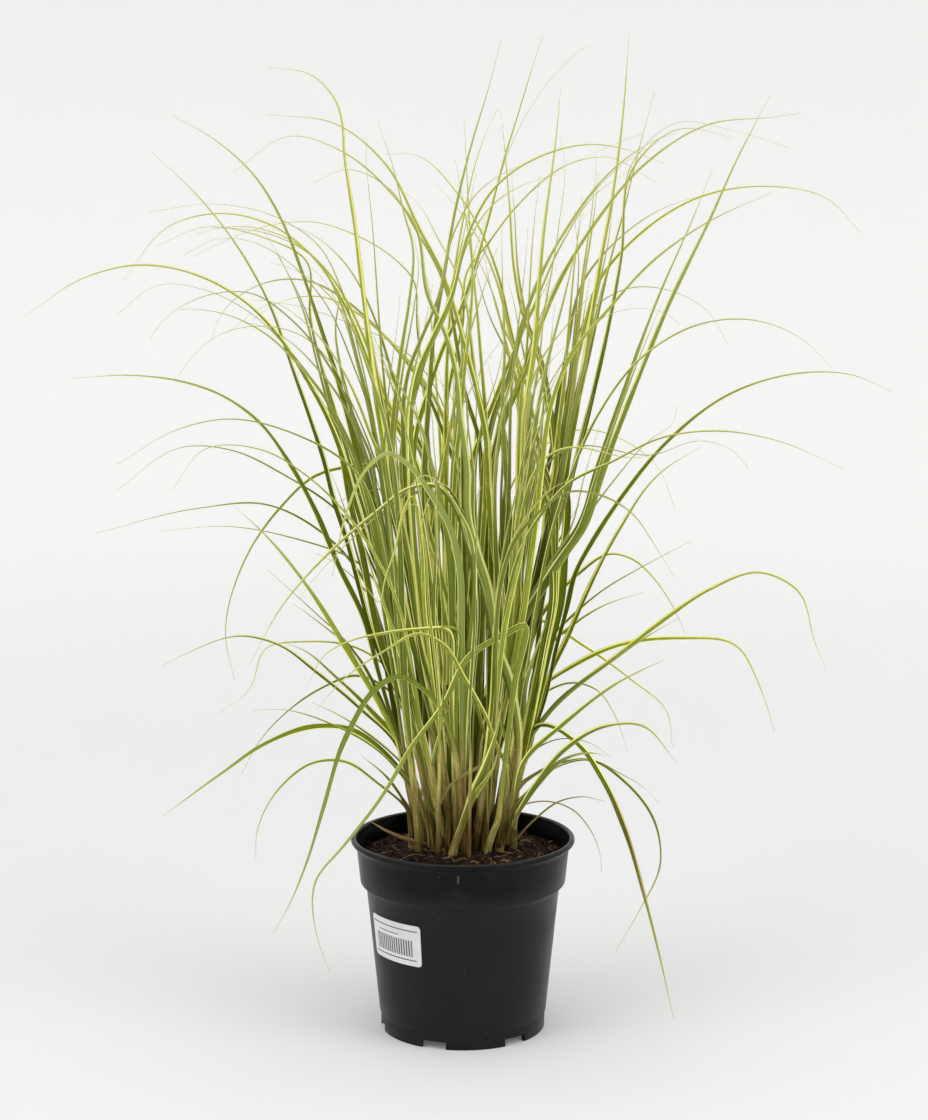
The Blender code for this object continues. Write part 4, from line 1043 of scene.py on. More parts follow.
def smoothed(rows: np.ndarray, rounds: int) -> np.ndarray:
    """Rows eased towards their neighbours, with the first and last kept.

    Args:
        rows: The rows.
        rounds: How often they are eased.

    Returns:
        The eased rows.
    """
    for _ in range(rounds):
        rows = np.concatenate([rows[:1], 0.25 * rows[:-2] + 0.5 * rows[1:-1] + 0.25 * rows[2:], rows[-1:]])
    return rows


def line_runs(rows: np.ndarray) -> np.ndarray:
    """How far along a line each of its points is."""
    return np.concatenate([[0.0], np.cumsum(np.linalg.norm(np.diff(rows, axis=0), axis=1))])


def evenly(rows: np.ndarray, step: float) -> tuple[np.ndarray, np.ndarray]:
    """Points a step apart along a line.

    Args:
        rows: The line's points.
        step: How far apart the new ones are.

    Returns:
        The new points and their shares of the line's length.
    """
    runs = line_runs(rows)
    wanted = np.linspace(0.0, runs[-1], max(6, math.ceil(runs[-1] / step) + 1))
    return np.stack([np.interp(wanted, runs, rows[:, axis]) for axis in range(3)], axis=1), wanted / runs[-1]


@dataclass
class Leaf:
    """One leaf as a line in space with its widths.

    Attributes:
        centres: Points along its keel.
        halves: Half its seen width, evenly along it.
        tone: Its colouring.
        seed: A number from 0 to 1 of its own.
        stem_radius: The radius of the stem that its foot wraps, or 0 for none.
        wrapped: How far up from its foot it wraps the stem.
        opening: How far above that it takes to open.
        stain: How brown its tip and how red its foot is, from 0 to 1.
    """

    centres: np.ndarray
    halves: np.ndarray
    tone: Tone
    seed: float
    stem_radius: float = 0.0
    wrapped: float = 0.0
    opening: float = 40.0
    stain: float = 0.5

    def frames(self, centres: np.ndarray) -> tuple[np.ndarray, np.ndarray, np.ndarray]:
        """Which way the leaf faces all along it.

        Grass leaves face up and inwards. One that would show only its edge to the front is turned part of the way.

        Args:
            centres: Points along the leaf.

        Returns:
            Directions across it, directions out of its upper face, and the turn from facing front, in radians.
        """
        tangents = unit(np.gradient(centres, axis=0))
        flat = unit(np.cross(tangents, unit(centres - np.array(EYE))))
        deep = unit(np.cross(tangents, flat))
        inward = np.array((centres[0, 0] - centres[-1, 0], centres[0, 1] - centres[-1, 1], 0.0))
        wanted = FACES_UP * UP + FACES_IN * unit(inward)
        wanted = unit(wanted - tangents * (tangents @ wanted)[:, None])
        natural = unit(np.cross(tangents, wanted))
        middle = len(centres) // 2
        side = np.sign((natural[middle] @ deep[middle]) * (natural[middle] @ flat[middle])) or 1.0
        turn = np.arccos(np.clip(np.abs((natural * flat).sum(axis=1)), 0.0, 1.0))
        turn = MOST_TURN * np.tanh(turn / MOST_TURN)
        along = np.linspace(0.0, 1.0, len(centres))
        turn = turn + TWIST * np.sin(2.0 * math.pi * (along * (1.2 + self.seed) + self.seed))
        turn = side * smoothed(turn, TURN_ROUNDS)
        across = flat * np.cos(turn)[:, None] + deep * np.sin(turn)[:, None]
        faces = unit(np.cross(across, tangents))
        near_foot = max(1, len(centres) // 3)
        return across, faces if faces[near_foot] @ wanted[near_foot] >= 0.0 else -faces, turn

    def grid(self) -> tuple[np.ndarray, np.ndarray]:
        """The leaf's closed shell: a folded strip whose foot wraps its stem.

        Returns:
            Its rings of points, and the share of its free length that each ring is at, below 0 where it wraps.
        """
        centres, shares = evenly(self.centres, STATION_STEP)
        across, faces, turn = self.frames(centres)
        length = line_runs(centres)[-1]
        run = shares * length
        free = np.clip((run - self.wrapped) / max(length - self.wrapped, 1.0), -1.0, 1.0)
        fold = np.interp(free, *FOLDS)
        halves = np.interp(shares, np.linspace(0.0, 1.0, len(self.halves)), self.halves)
        halves = halves / np.maximum(np.cos(turn), MOST_WIDENED) / np.cos(fold)
        wrap = np.clip(1.0 - (run - self.wrapped) / self.opening, 0.0, 1.0)
        wrap = (wrap * wrap * (3.0 - 2.0 * wrap) * (1.0 if self.stem_radius else 0.0))[:, None]
        narrowing = np.interp(run, (0.0, max(self.wrapped, 1.0)), (1.0, WRAP_NARROWS))
        radius = (self.stem_radius + WRAP_GAP) * narrowing[:, None]
        u = COLUMNS[None, :]
        rounded = np.sqrt(u * u + KEEL_SOFTNESS) - math.sqrt(KEEL_SOFTNESS)
        flat_x = halves[:, None] * u * np.cos(fold)[:, None]
        ripple = RIPPLE_SHARE * halves * np.sin(run / RIPPLE_LENGTH + 20.0 * self.seed)
        flat_y = halves[:, None] * rounded * np.sin(fold)[:, None] + ripple[:, None] * np.abs(u) * np.sign(u)
        x = flat_x * (1.0 - wrap) + radius * np.sin(WRAP_HALF_ANGLE * u) * wrap
        y = flat_y * (1.0 - wrap) - radius * np.cos(WRAP_HALF_ANGLE * u) * wrap
        section = np.stack([x, y], axis=2)
        slope = unit(np.gradient(section, axis=1))
        thick = (LEAF_THICK * np.clip(halves, 0.5, THICK_HALF) / THICK_HALF)[:, None]
        thick = thick * (1.0 - EDGE_THINNER * np.abs(u)**3)
        lower = section + np.stack([slope[:, :, 1], -slope[:, :, 0]], axis=2) * thick[:, :, None]
        ring = np.concatenate([section, lower[:, -2:0:-1]], axis=1)
        return centres[:, None, :] + across[:, None, :] * ring[:, :, :1] + faces[:, None, :] * ring[:, :, 1:], free

    def add_to(self, parts: MeshParts, look: Sequence[float], seed: Sequence[float], slot: int) -> None:
        """Adds the leaf's shell to a mesh.

        Args:
            parts: The mesh.
            look: Three values that the finish reads.
            seed: Three more, or two, to which the leaf's length is added.
            slot: Which material.
        """
        grid, shares = self.grid()
        upper = 0.5 + 0.5 * COLUMNS
        sides = [np.stack([edge[:-1], edge[1:]], axis=1) for edge in (upper, 2.0 + upper[::-1])]
        parts.add_grid(grid, np.concatenate(sides), shares, look, (*seed, len(shares) / 100.0)[:3], slot)


def tube_grid(centres: np.ndarray, radii: np.ndarray, sides: int, oval: float = 0.12) -> np.ndarray:
    """Rings of a slightly oval tube along a line of points.

    Args:
        centres: Points along its middle.
        radii: Its radius at each.
        sides: Points round it.
        oval: How far from round it is.

    Returns:
        The rings, (points along, sides, 3).
    """
    tangents = unit(np.gradient(centres, axis=0))
    across = unit(np.cross(tangents, np.array((0.0, 1.0, 0.0))))
    other = np.cross(tangents, across)
    angles = np.linspace(0.0, 2.0 * math.pi, sides, endpoint=False)[None, :, None]
    ring = (across[:, None, :] * np.cos(angles) * (1.0 + oval)
            + other[:, None, :] * np.sin(angles) * (1.0 - oval))
    return centres[:, None, :] + ring * radii[:, None, None]


def tube_across(sides: int) -> np.ndarray:
    """Where each face round a tube starts and ends, from 0 to 1."""
    ends = np.linspace(0.0, 1.0, sides + 1)
    return np.stack([ends[:-1], ends[1:]], axis=1)


class Skin(Enum):
    """Material slots of a tiller piece."""

    LEAF = 0
    SHEATH = 1
    HUSK = 2


TUBE_SIDES = 14
HUSK_SIDES = 16
HUSK_STATIONS = 12
SHEATH_STATIONS = 18
ROOTED = 4.0  # how far a stem goes on below the soil's level
LOOSE = 0.32  # how far one wrapped layer stands off the next
MASS_MIDDLE = (8.0, 20.0)  # the middle of the clump higher up, that young leaves lean towards
WIDE_LEAF = 6.0
NARROW_LEAF = 2.9
SEEN_FULLER = 1.28  # how much wider than its solid an upright leaf is with its thin pale margins
UPRIGHT_ABOVE = 590.0
HANGING_BELOW = 290.0
FINEST_HALF = 0.13  # half the width of a leaf's hair-thin tip
FOOT_WIDTH_SHARE = 0.6
FOOT_GROWTH = 1.6
WIDE_TIP = (0.76, 1.25)  # the share of a wide leaf over which it narrows, and the power that it narrows by
FINE_TIP = (0.58, 0.9)
SLIM = {"forward": 0.5, "forward_left": 0.55}
THICKEST = set("diagonal right_yellow bent_yellow far_centre yellow_centre right_back right_pale sweep_left tall_right "
               "right_sweep backward pale_left".split())
# How brown each tiller's tips and how red its foot are, from 0 to 1. The forward tiller's full value is painted shade:
# it stands in front, where the crowding darkens it little.
STAINS_AND_SHADE = {"front_hoop": 1.0, "forward": 1.0, "far_centre": 0.9, "low_arch": 0.6, "left_tip": 0.8, "left_wide": 0.1,
           "left_strong": 0.0, "new_shoot": 0.0, "front_fold": 0.1, "front_droop": 0.1}
TONES = {
    "left_low": "STRIPED YELLOW", "left_thin": "DARK GREEN", "cross_left": "DARK GREEN", "front_pale": "PALE",
    "front_droop": "GREEN", "forward": "DARK", "front_hoop": "GREEN DARK", "front_arch": "PALE",
    "front_fold": "STRIPED", "tall_right": "YELLOW STRIPED", "right_sweep": "YELLOW", "right_back": "YELLOW STRIPED",
    "tall_left": "STRIPED GREEN", "yellow_centre": "YELLOW YELLOW", "right_pale": "YELLOW STRIPED",
    "yellow_arch": "YELLOW", "low_arch": "YELLOW", "bent_yellow": "YELLOW", "right_yellow": "YELLOW YELLOW",
    "green_arch": "STRIPED", "right_green": "YELLOW",
}


@dataclass
class TillerLook:
    """Everything seen of one tiller: its stem, its wrapped layers and its leaves."""

    tiller: Tiller
    rng: random.Random
    opening: Point2 = (28.0, 60.0)
    young: int = 3
    young_length: Point2 = (0.55, 0.93)  # as shares of the other leaf's
    young_width: Point2 = (3.8, 7.0)
    young_turn: float = 1.3
    young_side: Point2 = (8.0, 60.0)
    young_drop: float = 26.0
    husks_left_out: float = 0.6
    husks_dry: float = 0.5
    husk_height: Point2 = (0.2, 0.6)  # as shares of the stem's
    husk_flare: Point2 = (0.1, 0.5)
    husk_slant: Point2 = (8.0, 30.0)

    def __post_init__(self) -> None:
        """Settles its tones and how slim it is, and finds its stem's line."""
        name = self.tiller.name
        chosen = [Tone[tone] for tone in TONES.get(name, "").split()]
        self.tones = chosen or [self.rng.choice((Tone.GREEN, Tone.STRIPED, Tone.STRIPED, Tone.YELLOW))
                                for _ in self.tiller.blades]
        self.slim = SLIM.get(name, 1.0)
        self.line = self.tiller.sheath_line()
        self.foot = line_runs(self.line)[-1]

    def leaves(self) -> list[Leaf]:
        """The leaves that the solids hold, the traced extra ones, and younger ones beside them.

        Returns:
            All the leaves, the solids' own first.
        """
        tiller = self.tiller
        blades, tones = list(tiller.blades), list(self.tones)
        if extra := EXTRA_LEAVES.get(tiller.name):
            blades.append(Blade(*extra[1:3], paired(extra[3:]), tiller.top, tiller.top_depth))
            tones.append(Tone[extra[0]])
        made: list[Leaf] = []
        for layer, (blade, tone) in enumerate(zip(blades, tones)):
            centres = smoothed(np.concatenate([self.line[:-1], blade.centres()]), 4)
            halves = [self.slim * blade.seen_half(step / blade.steps[-1]) for step in blade.steps]
            halves = np.array([halves[0]] * (len(self.line) - 1) + halves)
            made.append(self.wrapped_leaf(centres, halves, tone, layer))
        made += [self.shoot(*row[:4], paired(row[4:])) for row in SHOOTS.get(tiller.name, ())]
        tip_height = max(blade.dense[-1][1] for blade in tiller.blades)
        count = self.young if tip_height > UPRIGHT_ABOVE else int(tip_height > HANGING_BELOW and self.slim == 1.0)
        thick = tiller.name in THICKEST
        for _ in range(count + 2 * thick):
            source = self.rng.choice(made[:len(tiller.blades)])
            made.append(self.young_leaf(source, len(made), 1.25 if thick else 1.0))
        return made

    def wrapped_leaf(self, centres: np.ndarray, halves: np.ndarray, tone: Tone, layer: int) -> Leaf:
        """A leaf whose foot wraps the stem, each later one a layer further out and free lower down.

        Args:
            centres: Its line from the soil to its tip.
            halves: Half its width along that.
            tone: Its colouring.
            layer: How many leaves are wrapped inside it.

        Returns:
            The leaf.
        """
        wrapped = self.foot * max(0.12, 1.0 - 0.2 * layer - self.rng.uniform(0.0, 0.25))
        radius = self.slim * (SHEATH_TOP_SHARE * self.tiller.radius + LOOSE * min(layer, 3))
        runs = line_runs(centres)
        centres, shares = evenly(centres, STATION_STEP)
        halves = np.interp(shares, runs / runs[-1], halves)
        return Leaf(centres, halves, tone, self.rng.random(), radius, wrapped, self.rng.uniform(*self.opening),
                    STAINS_AND_SHADE.get(self.tiller.name, self.rng.uniform(0.1, 0.9)))

    def shoot(self, tone: str, width: float, foot_depth: float, tip_depth: float, seen: Seen) -> Leaf:
        """A leaf that comes out of the soil beside the tiller, as traced from the front.

        Args:
            tone: The name of its colouring.
            width: Its width.
            foot_depth: The depth of its foot.
            tip_depth: The depth of its tip.
            seen: Its traced points.

        Returns:
            The leaf.
        """
        dense = smooth_path(seen)
        shares = np.linspace(0.0, 1.0, len(dense))
        centres = np.array([along_sight(x, z, foot_depth + (tip_depth - foot_depth) * share**1.3)
                            for (x, z), share in zip(dense, shares)])
        halves = 0.5 * width * np.minimum(1.0, 0.7 + 1.5 * shares)
        halves = np.maximum(halves * (1.0 - np.clip((shares - 0.4) / 0.6, 0.0, 1.0)**1.5), FINEST_HALF)
        return Leaf(centres, halves, Tone[tone], self.rng.random(), 0.42 * width, 0.25 * len(dense), 30.0, 0.6)

    def young_leaf(self, source: Leaf, layer: int, fuller: float) -> Leaf:
        """A shorter, finer leaf that leaves the same stem beside another.

        Args:
            source: The other leaf.
            layer: How many leaves are wrapped inside the new one.
            fuller: How much wider than usual it is.

        Returns:
            The leaf.
        """
        keep = max(8, round(len(source.centres) * self.rng.uniform(*self.young_length)))
        centres = source.centres[:keep].copy()
        rise = np.linspace(0.0, 1.0, keep)
        heading = math.atan2(MASS_MIDDLE[1] - centres[-1, 1], MASS_MIDDLE[0] - centres[-1, 0])
        heading += self.rng.uniform(-self.young_turn, self.young_turn)
        sideways = self.rng.uniform(*self.young_side) * np.clip(rise - 0.12, 0.0, 1.0)**1.5
        centres[:, 0] += math.cos(heading) * sideways
        centres[:, 1] += math.sin(heading) * sideways * 1.3
        centres[:, 2] -= self.rng.uniform(0.0, self.young_drop) * rise**3
        full = 0.5 * fuller * self.rng.uniform(*self.young_width)
        fall = np.clip((rise - 0.3) / 0.7, 0.0, 1.0)
        halves = np.maximum(FINEST_HALF, full * np.minimum(1.0, 0.6 + 2.0 * rise) * (1.0 - fall**1.1))
        tone = self.rng.choice((Tone.GREEN, Tone.STRIPED, Tone.YELLOW, Tone.DARK))
        return self.wrapped_leaf(centres, halves, tone, layer)

    def stem(self, parts: MeshParts) -> None:
        """Adds the stem inside the wrapped leaves, narrowing to a point.

        Args:
            parts: The tiller's mesh.
        """
        centres, shares = evenly(self.line, 4.0)
        radii = 0.8 * self.slim * self.tiller.radius * np.interp(shares, (0.0, 0.6, 1.0), (1.0, 0.8, 0.1))
        seed = (self.rng.random(), STAINS_AND_SHADE.get(self.tiller.name, self.rng.random()), self.rng.random())
        parts.add_grid(tube_grid(centres, radii, TUBE_SIDES), tube_across(TUBE_SIDES), shares,
                       (*self.tones[0].value[:2], 0.0), seed, Skin.SHEATH.value)

    def husk_grid(self, line: np.ndarray, radius: float, flare: float, slant: float, turn: float) -> np.ndarray:
        """A thin wrapped layer, open at the top with a slanting mouth, as one closed shell.

        Args:
            line: The middle of the stem it wraps.
            radius: Its inner radius.
            flare: How far its mouth stands off.
            slant: How much longer its long side is.
            turn: Where the long side is, in radians.

        Returns:
            Rings from the foot up the outside and back down the inside.
        """
        angles = np.linspace(0.0, 2.0 * math.pi, HUSK_SIDES, endpoint=False)
        length = line_runs(line)[-1]
        shares = np.linspace(0.0, 1.0, HUSK_STATIONS)
        steps = np.linspace(0.0, 1.0, len(line))
        rings = []
        for share, loose in [(share, LOOSE) for share in shares] + [(share, 0.0) for share in shares[::-1]]:
            reach = share * (1.0 - min(0.8, slant / length) * (0.5 - 0.5 * np.cos(angles - turn)) * share)
            centres = np.stack([np.interp(reach, steps, line[:, axis]) for axis in range(3)], axis=1)
            out = radius + flare * share**4 + loose
            rings.append(centres + np.stack([np.cos(angles) * out, np.sin(angles) * out, 0.0 * angles], axis=1))
        return np.array(rings)

    def husks(self, parts: MeshParts) -> None:
        """Adds the wrapped layers round the stem: green ones with a leaf's colours, dry ones at the foot.

        Args:
            parts: The tiller's mesh.
        """
        rng = self.rng
        for layer in range(2):
            if rng.random() < self.husks_left_out or self.slim < 1.0:
                continue
            dry = rng.random() < self.husks_dry
            count = max(4, round(rng.uniform(*self.husk_height) * len(self.line)))
            radius = self.tiller.radius * 0.9 + LOOSE * (2 + layer)
            grid = self.husk_grid(self.line[:count], radius, rng.uniform(*self.husk_flare),
                                  rng.uniform(*self.husk_slant), rng.uniform(0.0, 2.0 * math.pi))
            rise = np.linspace(0.0, 1.0, HUSK_STATIONS)
            parts.add_grid(grid, tube_across(HUSK_SIDES), np.concatenate([rise, rise[::-1]]),
                           (*self.tones[0].value[:2], 1.0 if dry else 0.0),
                           (rng.random(), rng.random(), rng.random()),
                           Skin.HUSK.value if dry else Skin.SHEATH.value)

    def build(self, materials: Sequence[bpy.types.Material]) -> bpy.types.Object:
        """The tiller as one piece that replaces its solid.

        Args:
            materials: The finishes by slot.

        Returns:
            The piece.
        """
        parts = MeshParts()
        self.stem(parts)
        self.husks(parts)
        for leaf in self.leaves():
            leaf.add_to(parts, leaf.tone.value, (leaf.seed, leaf.stain), Skin.LEAF.value)
        solid = f"tiller_{self.tiller.name}"
        return dressed(parts.build(f"{solid}_grown", materials), solid)


BLACK = (0.0, 0.0, 0.0)
LEAF_GREEN = srgb(100, 120, 0)
LEAF_YELLOW = srgb(248, 245, 110)
STEM_GREEN = srgb(154, 156, 58)
STEM_PALE = srgb(238, 224, 150)
STEM_TAN = srgb(204, 168, 104)
STEM_RED = srgb(80, 42, 26)
HUSK_TAN = srgb(198, 170, 112)
HUSK_DARK = srgb(104, 76, 46)
SOIL_DARK = srgb(15, 10, 7)
SOIL_LIGHT = srgb(92, 64, 44)
# a dusty grey: real dust on the pot and label, and a painted highlight along the pot's lip
POT_DUST_AND_SHEEN = srgb(64, 62, 60)


def stripe_group() -> bpy.types.NodeTree:
    """Stripes, ribs and blemishes that run along a leaf or a sheath, shared by all the grass finishes.

    Returns:
        A group that turns a place on the leaf, a seed and a length into masks and a height.
    """
    graph, given, result = new_tree("grain_along", "ShaderNodeTree",
                                    dict.fromkeys(("Across", "Along", "Seed", "Length"), "Float"),
                                    dict.fromkeys(("Streaks", "Bands", "Blotches", "Height"), "Float"))
    across, seed = given["Across"], given["Seed"]
    run = given["Along"] * given["Length"]
    place = graph.vector(across * 3.6 + seed * 37.0, run * 1.6, seed * 11.0)
    wide = graph.vector(across * 3.2 + seed * 53.0, run * 0.7, seed)
    spots = graph.vector(across * 2.0, run * 9.0, seed)
    graph.feed(result["Streaks"], graph.noise(place, 2.2, 4.0, 0.6))
    graph.feed(result["Bands"], graph.noise(wide, 1.6, 2.0, 0.5))
    graph.feed(result["Blotches"], graph.noise(spots, 2.4, 4.0, 0.65))
    graph.feed(result["Height"], graph.math("SINE", across * 88.0) * 0.5 + 0.5)
    return graph.tree


@dataclass(frozen=True)
class GrassFinish(Finish):
    """What the finishes of grass share: the stripes along it, and the painted shade that darkens crowded stems and
    leaves.
    """

    grain: bpy.types.NodeTree
    painted_shade_tint: Point3 = (0.24, 0.215, 0.03)

    def shaded_inner_red(self, graph: Graph, low: Wire, colour: Wire) -> Wire:
        """A grass colour darkened to a deep red low down where other stems crowd round it: painted shade between the
        stems, in their own reddish base colour.
        """
        # painted shade: low down, the more crowded a stem is, the more of the dark red it takes
        inner = low * graph.step(graph.carried("crowd", "Fac"), 0.5, 0.8)
        return graph.mix(inner * 0.75, colour, STEM_RED)

    def shaded(self, graph: Graph, colour: Wire) -> Wire:
        """A grass colour darkened with painted shade where other leaves crowd round it."""
        # painted shade: the colour is multiplied darker as the light kept off by other leaves rises
        return graph.mix(graph.step(graph.carried("crowd", "Fac"), 0.28, 0.92), colour,
                         graph.mix(1.0, colour, self.painted_shade_tint, "MULTIPLY"))


@dataclass(frozen=True)
class LeafFinish(GrassFinish):
    """A living leaf: green between cream margins, a pale keel, a duller underside and a drying tip, with a painted glow
    on the pale margins.
    """

    dark: Point3 = srgb(42, 64, 0)
    lime: Point3 = srgb(160, 172, 10)
    cream: Point3 = srgb(255, 253, 172)
    pale: Point3 = srgb(172, 186, 110)
    olive: Point3 = srgb(200, 202, 118)
    brown: Point3 = srgb(166, 138, 92)
    painted_glow_share: float = 0.16  # painted glow on the thin pale margins, standing in for the light they let through

    def living(self, graph: Graph, across: Wire, masks: dict[str, Wire], drift: Wire, own: Wire) -> tuple[Wire, Wire]:
        """The colours of the living leaf.

        Args:
            graph: The material's nodes.
            across: From 0 to 1 across the leaf.
            masks: The shared stripes.
            drift: How far the margins wander.
            own: The leaf's own number.

        Returns:
            The colour before it ages, and where it is pale.
        """
        yellow = graph.parts(graph.carried("look"))[0]
        uneven = graph.math("SINE", graph.parts(graph.carried("seed"))[0] * 40.0)
        from_keel = graph.math("ABSOLUTE", across * 2.0 + (uneven * 0.22 - 1.0))
        edge_at = yellow * -0.28 + 0.87 + drift
        band_at = yellow * -0.2 + 0.78
        streaks = masks["Streaks"]
        deep = graph.math("ADD", graph.span(own, 0.25, 1.0), graph.span(streaks, -0.5, 0.5), clamp=True)
        green = graph.mix(yellow * yellow * 0.7, graph.mix(deep, self.dark, LEAF_GREEN), self.lime)
        light = graph.most(graph.step(from_keel, edge_at, edge_at + 0.04),
                           (1.0 - graph.step(from_keel, 0.03, 0.12)) * 0.12,
                           graph.step(streaks, band_at, band_at + 0.05) * 0.7)
        return graph.mix(light, green, graph.mix(yellow * 0.7, self.cream, LEAF_YELLOW)), light

    def paint(self, graph: Graph) -> Surface:
        """Green between cream margins, the foot like the stem and the tip dry, with painted shade where leaves crowd
        and a painted glow on the pale margins.
        """
        across, along, _ = graph.parts(graph.place("UV"))
        _, pale, dry = graph.parts(graph.carried("look"))
        seed, stain, length = graph.parts(graph.carried("seed"))
        under = across > 1.5
        across = across - under * 2.0
        masks = graph.group(self.grain, Across=across, Along=along, Seed=seed, Length=length * 6.0)
        own = graph.fract(seed * 17.0)
        drift = masks["Bands"] * 0.3 - 0.15
        colour, light = self.living(graph, across, masks, drift, own)
        colour = graph.mix(pale * 0.85, colour, self.pale)
        colour = graph.mix(under * 0.15, colour, self.pale)
        foot = 1.0 - graph.step(along, -0.02, 0.14)
        stem = graph.mix(graph.step(masks["Streaks"], 0.46, 0.6), graph.mix(own, STEM_GREEN, STEM_TAN), STEM_PALE)
        colour = graph.mix(foot * 0.75, colour, stem)
        low = 1.0 - graph.step(graph.parts(graph.place())[2], 0.175, 0.245)
        colour = graph.mix(low * graph.span(graph.fract(seed * 29.0), 0.0, 0.6), colour, STEM_RED)
        red = low * graph.step(stain + masks["Bands"], 0.85, 1.35)
        colour = self.shaded_inner_red(graph, low, graph.mix(red * 0.75, colour, STEM_RED))
        colour = graph.mix(graph.step(along, 0.5, 1.02) * 0.85, colour, self.olive)
        browned = graph.step(along + drift * 0.3, 0.95, 1.12) * stain
        aged = graph.most(browned, graph.step(masks["Blotches"], 0.7, 0.8) * 0.5, dry * 0.9)
        colour = self.shaded(graph, graph.mix(aged, colour, self.brown))
        # painted glow: the pale margins give off a share of their own colour, less where the leaf has aged
        through = light * graph.math("SUBTRACT", 1.0, aged, clamp=True) * self.painted_glow_share
        return Surface(colour, graph.span(masks["Streaks"], 0.36, 0.55), graph.bump(masks["Height"], 0.00006, 0.6),
                       specular=0.03, glow=graph.mix(through, BLACK, colour))


@dataclass(frozen=True)
class StemFinish(GrassFinish):
    """A stem and its green wrapped layers: pale at the foot with a reddish stain, greener and striped higher up."""

    def paint(self, graph: Graph) -> Surface:
        """Striped tan and green, redder and duller towards the soil, and darkened with painted shade where stems crowd.
        """
        across, along, _ = graph.parts(graph.place("UV"))
        yellow = graph.parts(graph.carried("look"))[0]
        seed, stain, shade = graph.parts(graph.carried("seed"))
        masks = graph.group(self.grain, Across=across * 2.5, Along=along, Seed=seed, Length=1.2)
        colour = graph.mix(graph.step(masks["Streaks"], 0.48, 0.6),
                           graph.mix(graph.fract(seed * 17.0), STEM_GREEN, STEM_TAN),
                           graph.mix(yellow, STEM_PALE, LEAF_YELLOW))
        colour = graph.mix(graph.step(shade, 0.45, 0.95) * 0.7, colour, LEAF_GREEN)
        low = 1.0 - graph.step(graph.parts(graph.place())[2], 0.158, 0.225)
        colour = graph.mix(low * 0.35, colour, HUSK_TAN)
        red = graph.step(stain + masks["Bands"], 1.05, 1.5) * low
        colour = self.shaded_inner_red(graph, low, graph.mix(red * 0.85, colour, STEM_RED))
        spots = graph.step(masks["Blotches"], 0.66, 0.78) * 0.5
        colour = self.shaded(graph, graph.mix(spots, colour, HUSK_DARK))
        return Surface(colour, graph.span(masks["Streaks"], 0.38, 0.6), graph.bump(masks["Height"], 0.00008, 0.6),
                       specular=0.03)


@dataclass(frozen=True)
class HuskFinish(GrassFinish):
    """Dry sheaths and straw: brown fibres and stains."""

    orange: Point3 = srgb(196, 128, 62)

    def paint(self, graph: Graph) -> Surface:
        """Straw between tan and brown, some of it warmer, darkened with painted shade where crowded."""
        across, along, _ = graph.parts(graph.place("UV"))
        warm = graph.parts(graph.carried("look"))[0]
        seed, stain, _ = graph.parts(graph.carried("seed"))
        masks = graph.group(self.grain, Across=across * 2.0, Along=along, Seed=seed, Length=1.0)
        colour = graph.mix(graph.step(masks["Streaks"], 0.35, 0.7), HUSK_DARK, HUSK_TAN)
        colour = graph.mix(warm * 0.12, colour, self.orange)
        dark = graph.step(masks["Bands"] + stain, 0.95, 1.5)
        colour = self.shaded(graph, graph.mix(dark * 0.6, colour, STEM_RED))
        return Surface(colour, graph.span(masks["Streaks"], 0.55, 0.8), graph.bump(masks["Height"], 0.0001, 0.8),
                       specular=0.03)


@dataclass(frozen=True)
class SoilFinish(Finish):
    """Damp peat: brown on the lumps and near black in the pits, where painted shade darkens its own browns, with fine
    pale grit.
    """

    brown: Point3 = srgb(48, 31, 21)

    def paint(self, graph: Graph) -> Surface:
        """Lumps and grit, with painted shade in the pits."""
        place = graph.place()
        lumps = graph.noise(place, 260.0, 5.0, 0.65)
        fine = graph.noise(place, 1400.0, 3.0, 0.6)
        # painted shade: the colour follows the same lumps as the bump, near black where they are low
        colour = graph.mix(graph.step(lumps, 0.35, 0.7), SOIL_DARK, self.brown)
        colour = graph.mix(graph.step(fine, 0.58, 0.75) * 0.5, colour, SOIL_LIGHT)
        height = lumps + graph.cells(place, 900.0, "Distance") * 0.4
        return Surface(colour, graph.span(fine, 0.75, 0.98), graph.bump(height, 0.0012, 0.9), specular=0.2)


@dataclass(frozen=True)
class CrumbFinish(Finish):
    """Loose crumbs, each with its own brown."""

    def paint(self, graph: Graph) -> Surface:
        """A brown for each cell, finely mottled."""
        place = graph.place()
        tint = graph.parts(graph.cells(place, 420.0, "Color"))[0]
        fine = graph.noise(place, 1600.0, 3.0, 0.6)
        colour = graph.mix(graph.step(tint, 0.45, 1.0), SOIL_DARK, SOIL_LIGHT)
        colour = graph.mix(fine * 0.5, colour, SOIL_DARK)
        return Surface(colour, graph.span(fine, 0.7, 0.95), graph.bump(fine, 0.0005, 0.8), specular=0.2)


@dataclass(frozen=True)
class FibreFinish(Finish):
    """Roots and fibres, mottled between two browns."""

    light: Point3
    dark: Point3

    def paint(self, graph: Graph) -> Surface:
        """One brown over the other."""
        shade = graph.noise(graph.place(), 700.0, 4.0, 0.6)
        return Surface(graph.mix(graph.step(shade, 0.35, 0.65), self.dark, self.light),
                       graph.span(shade, 0.6, 0.85), graph.bump(shade, 0.0001, 0.6), specular=0.25)


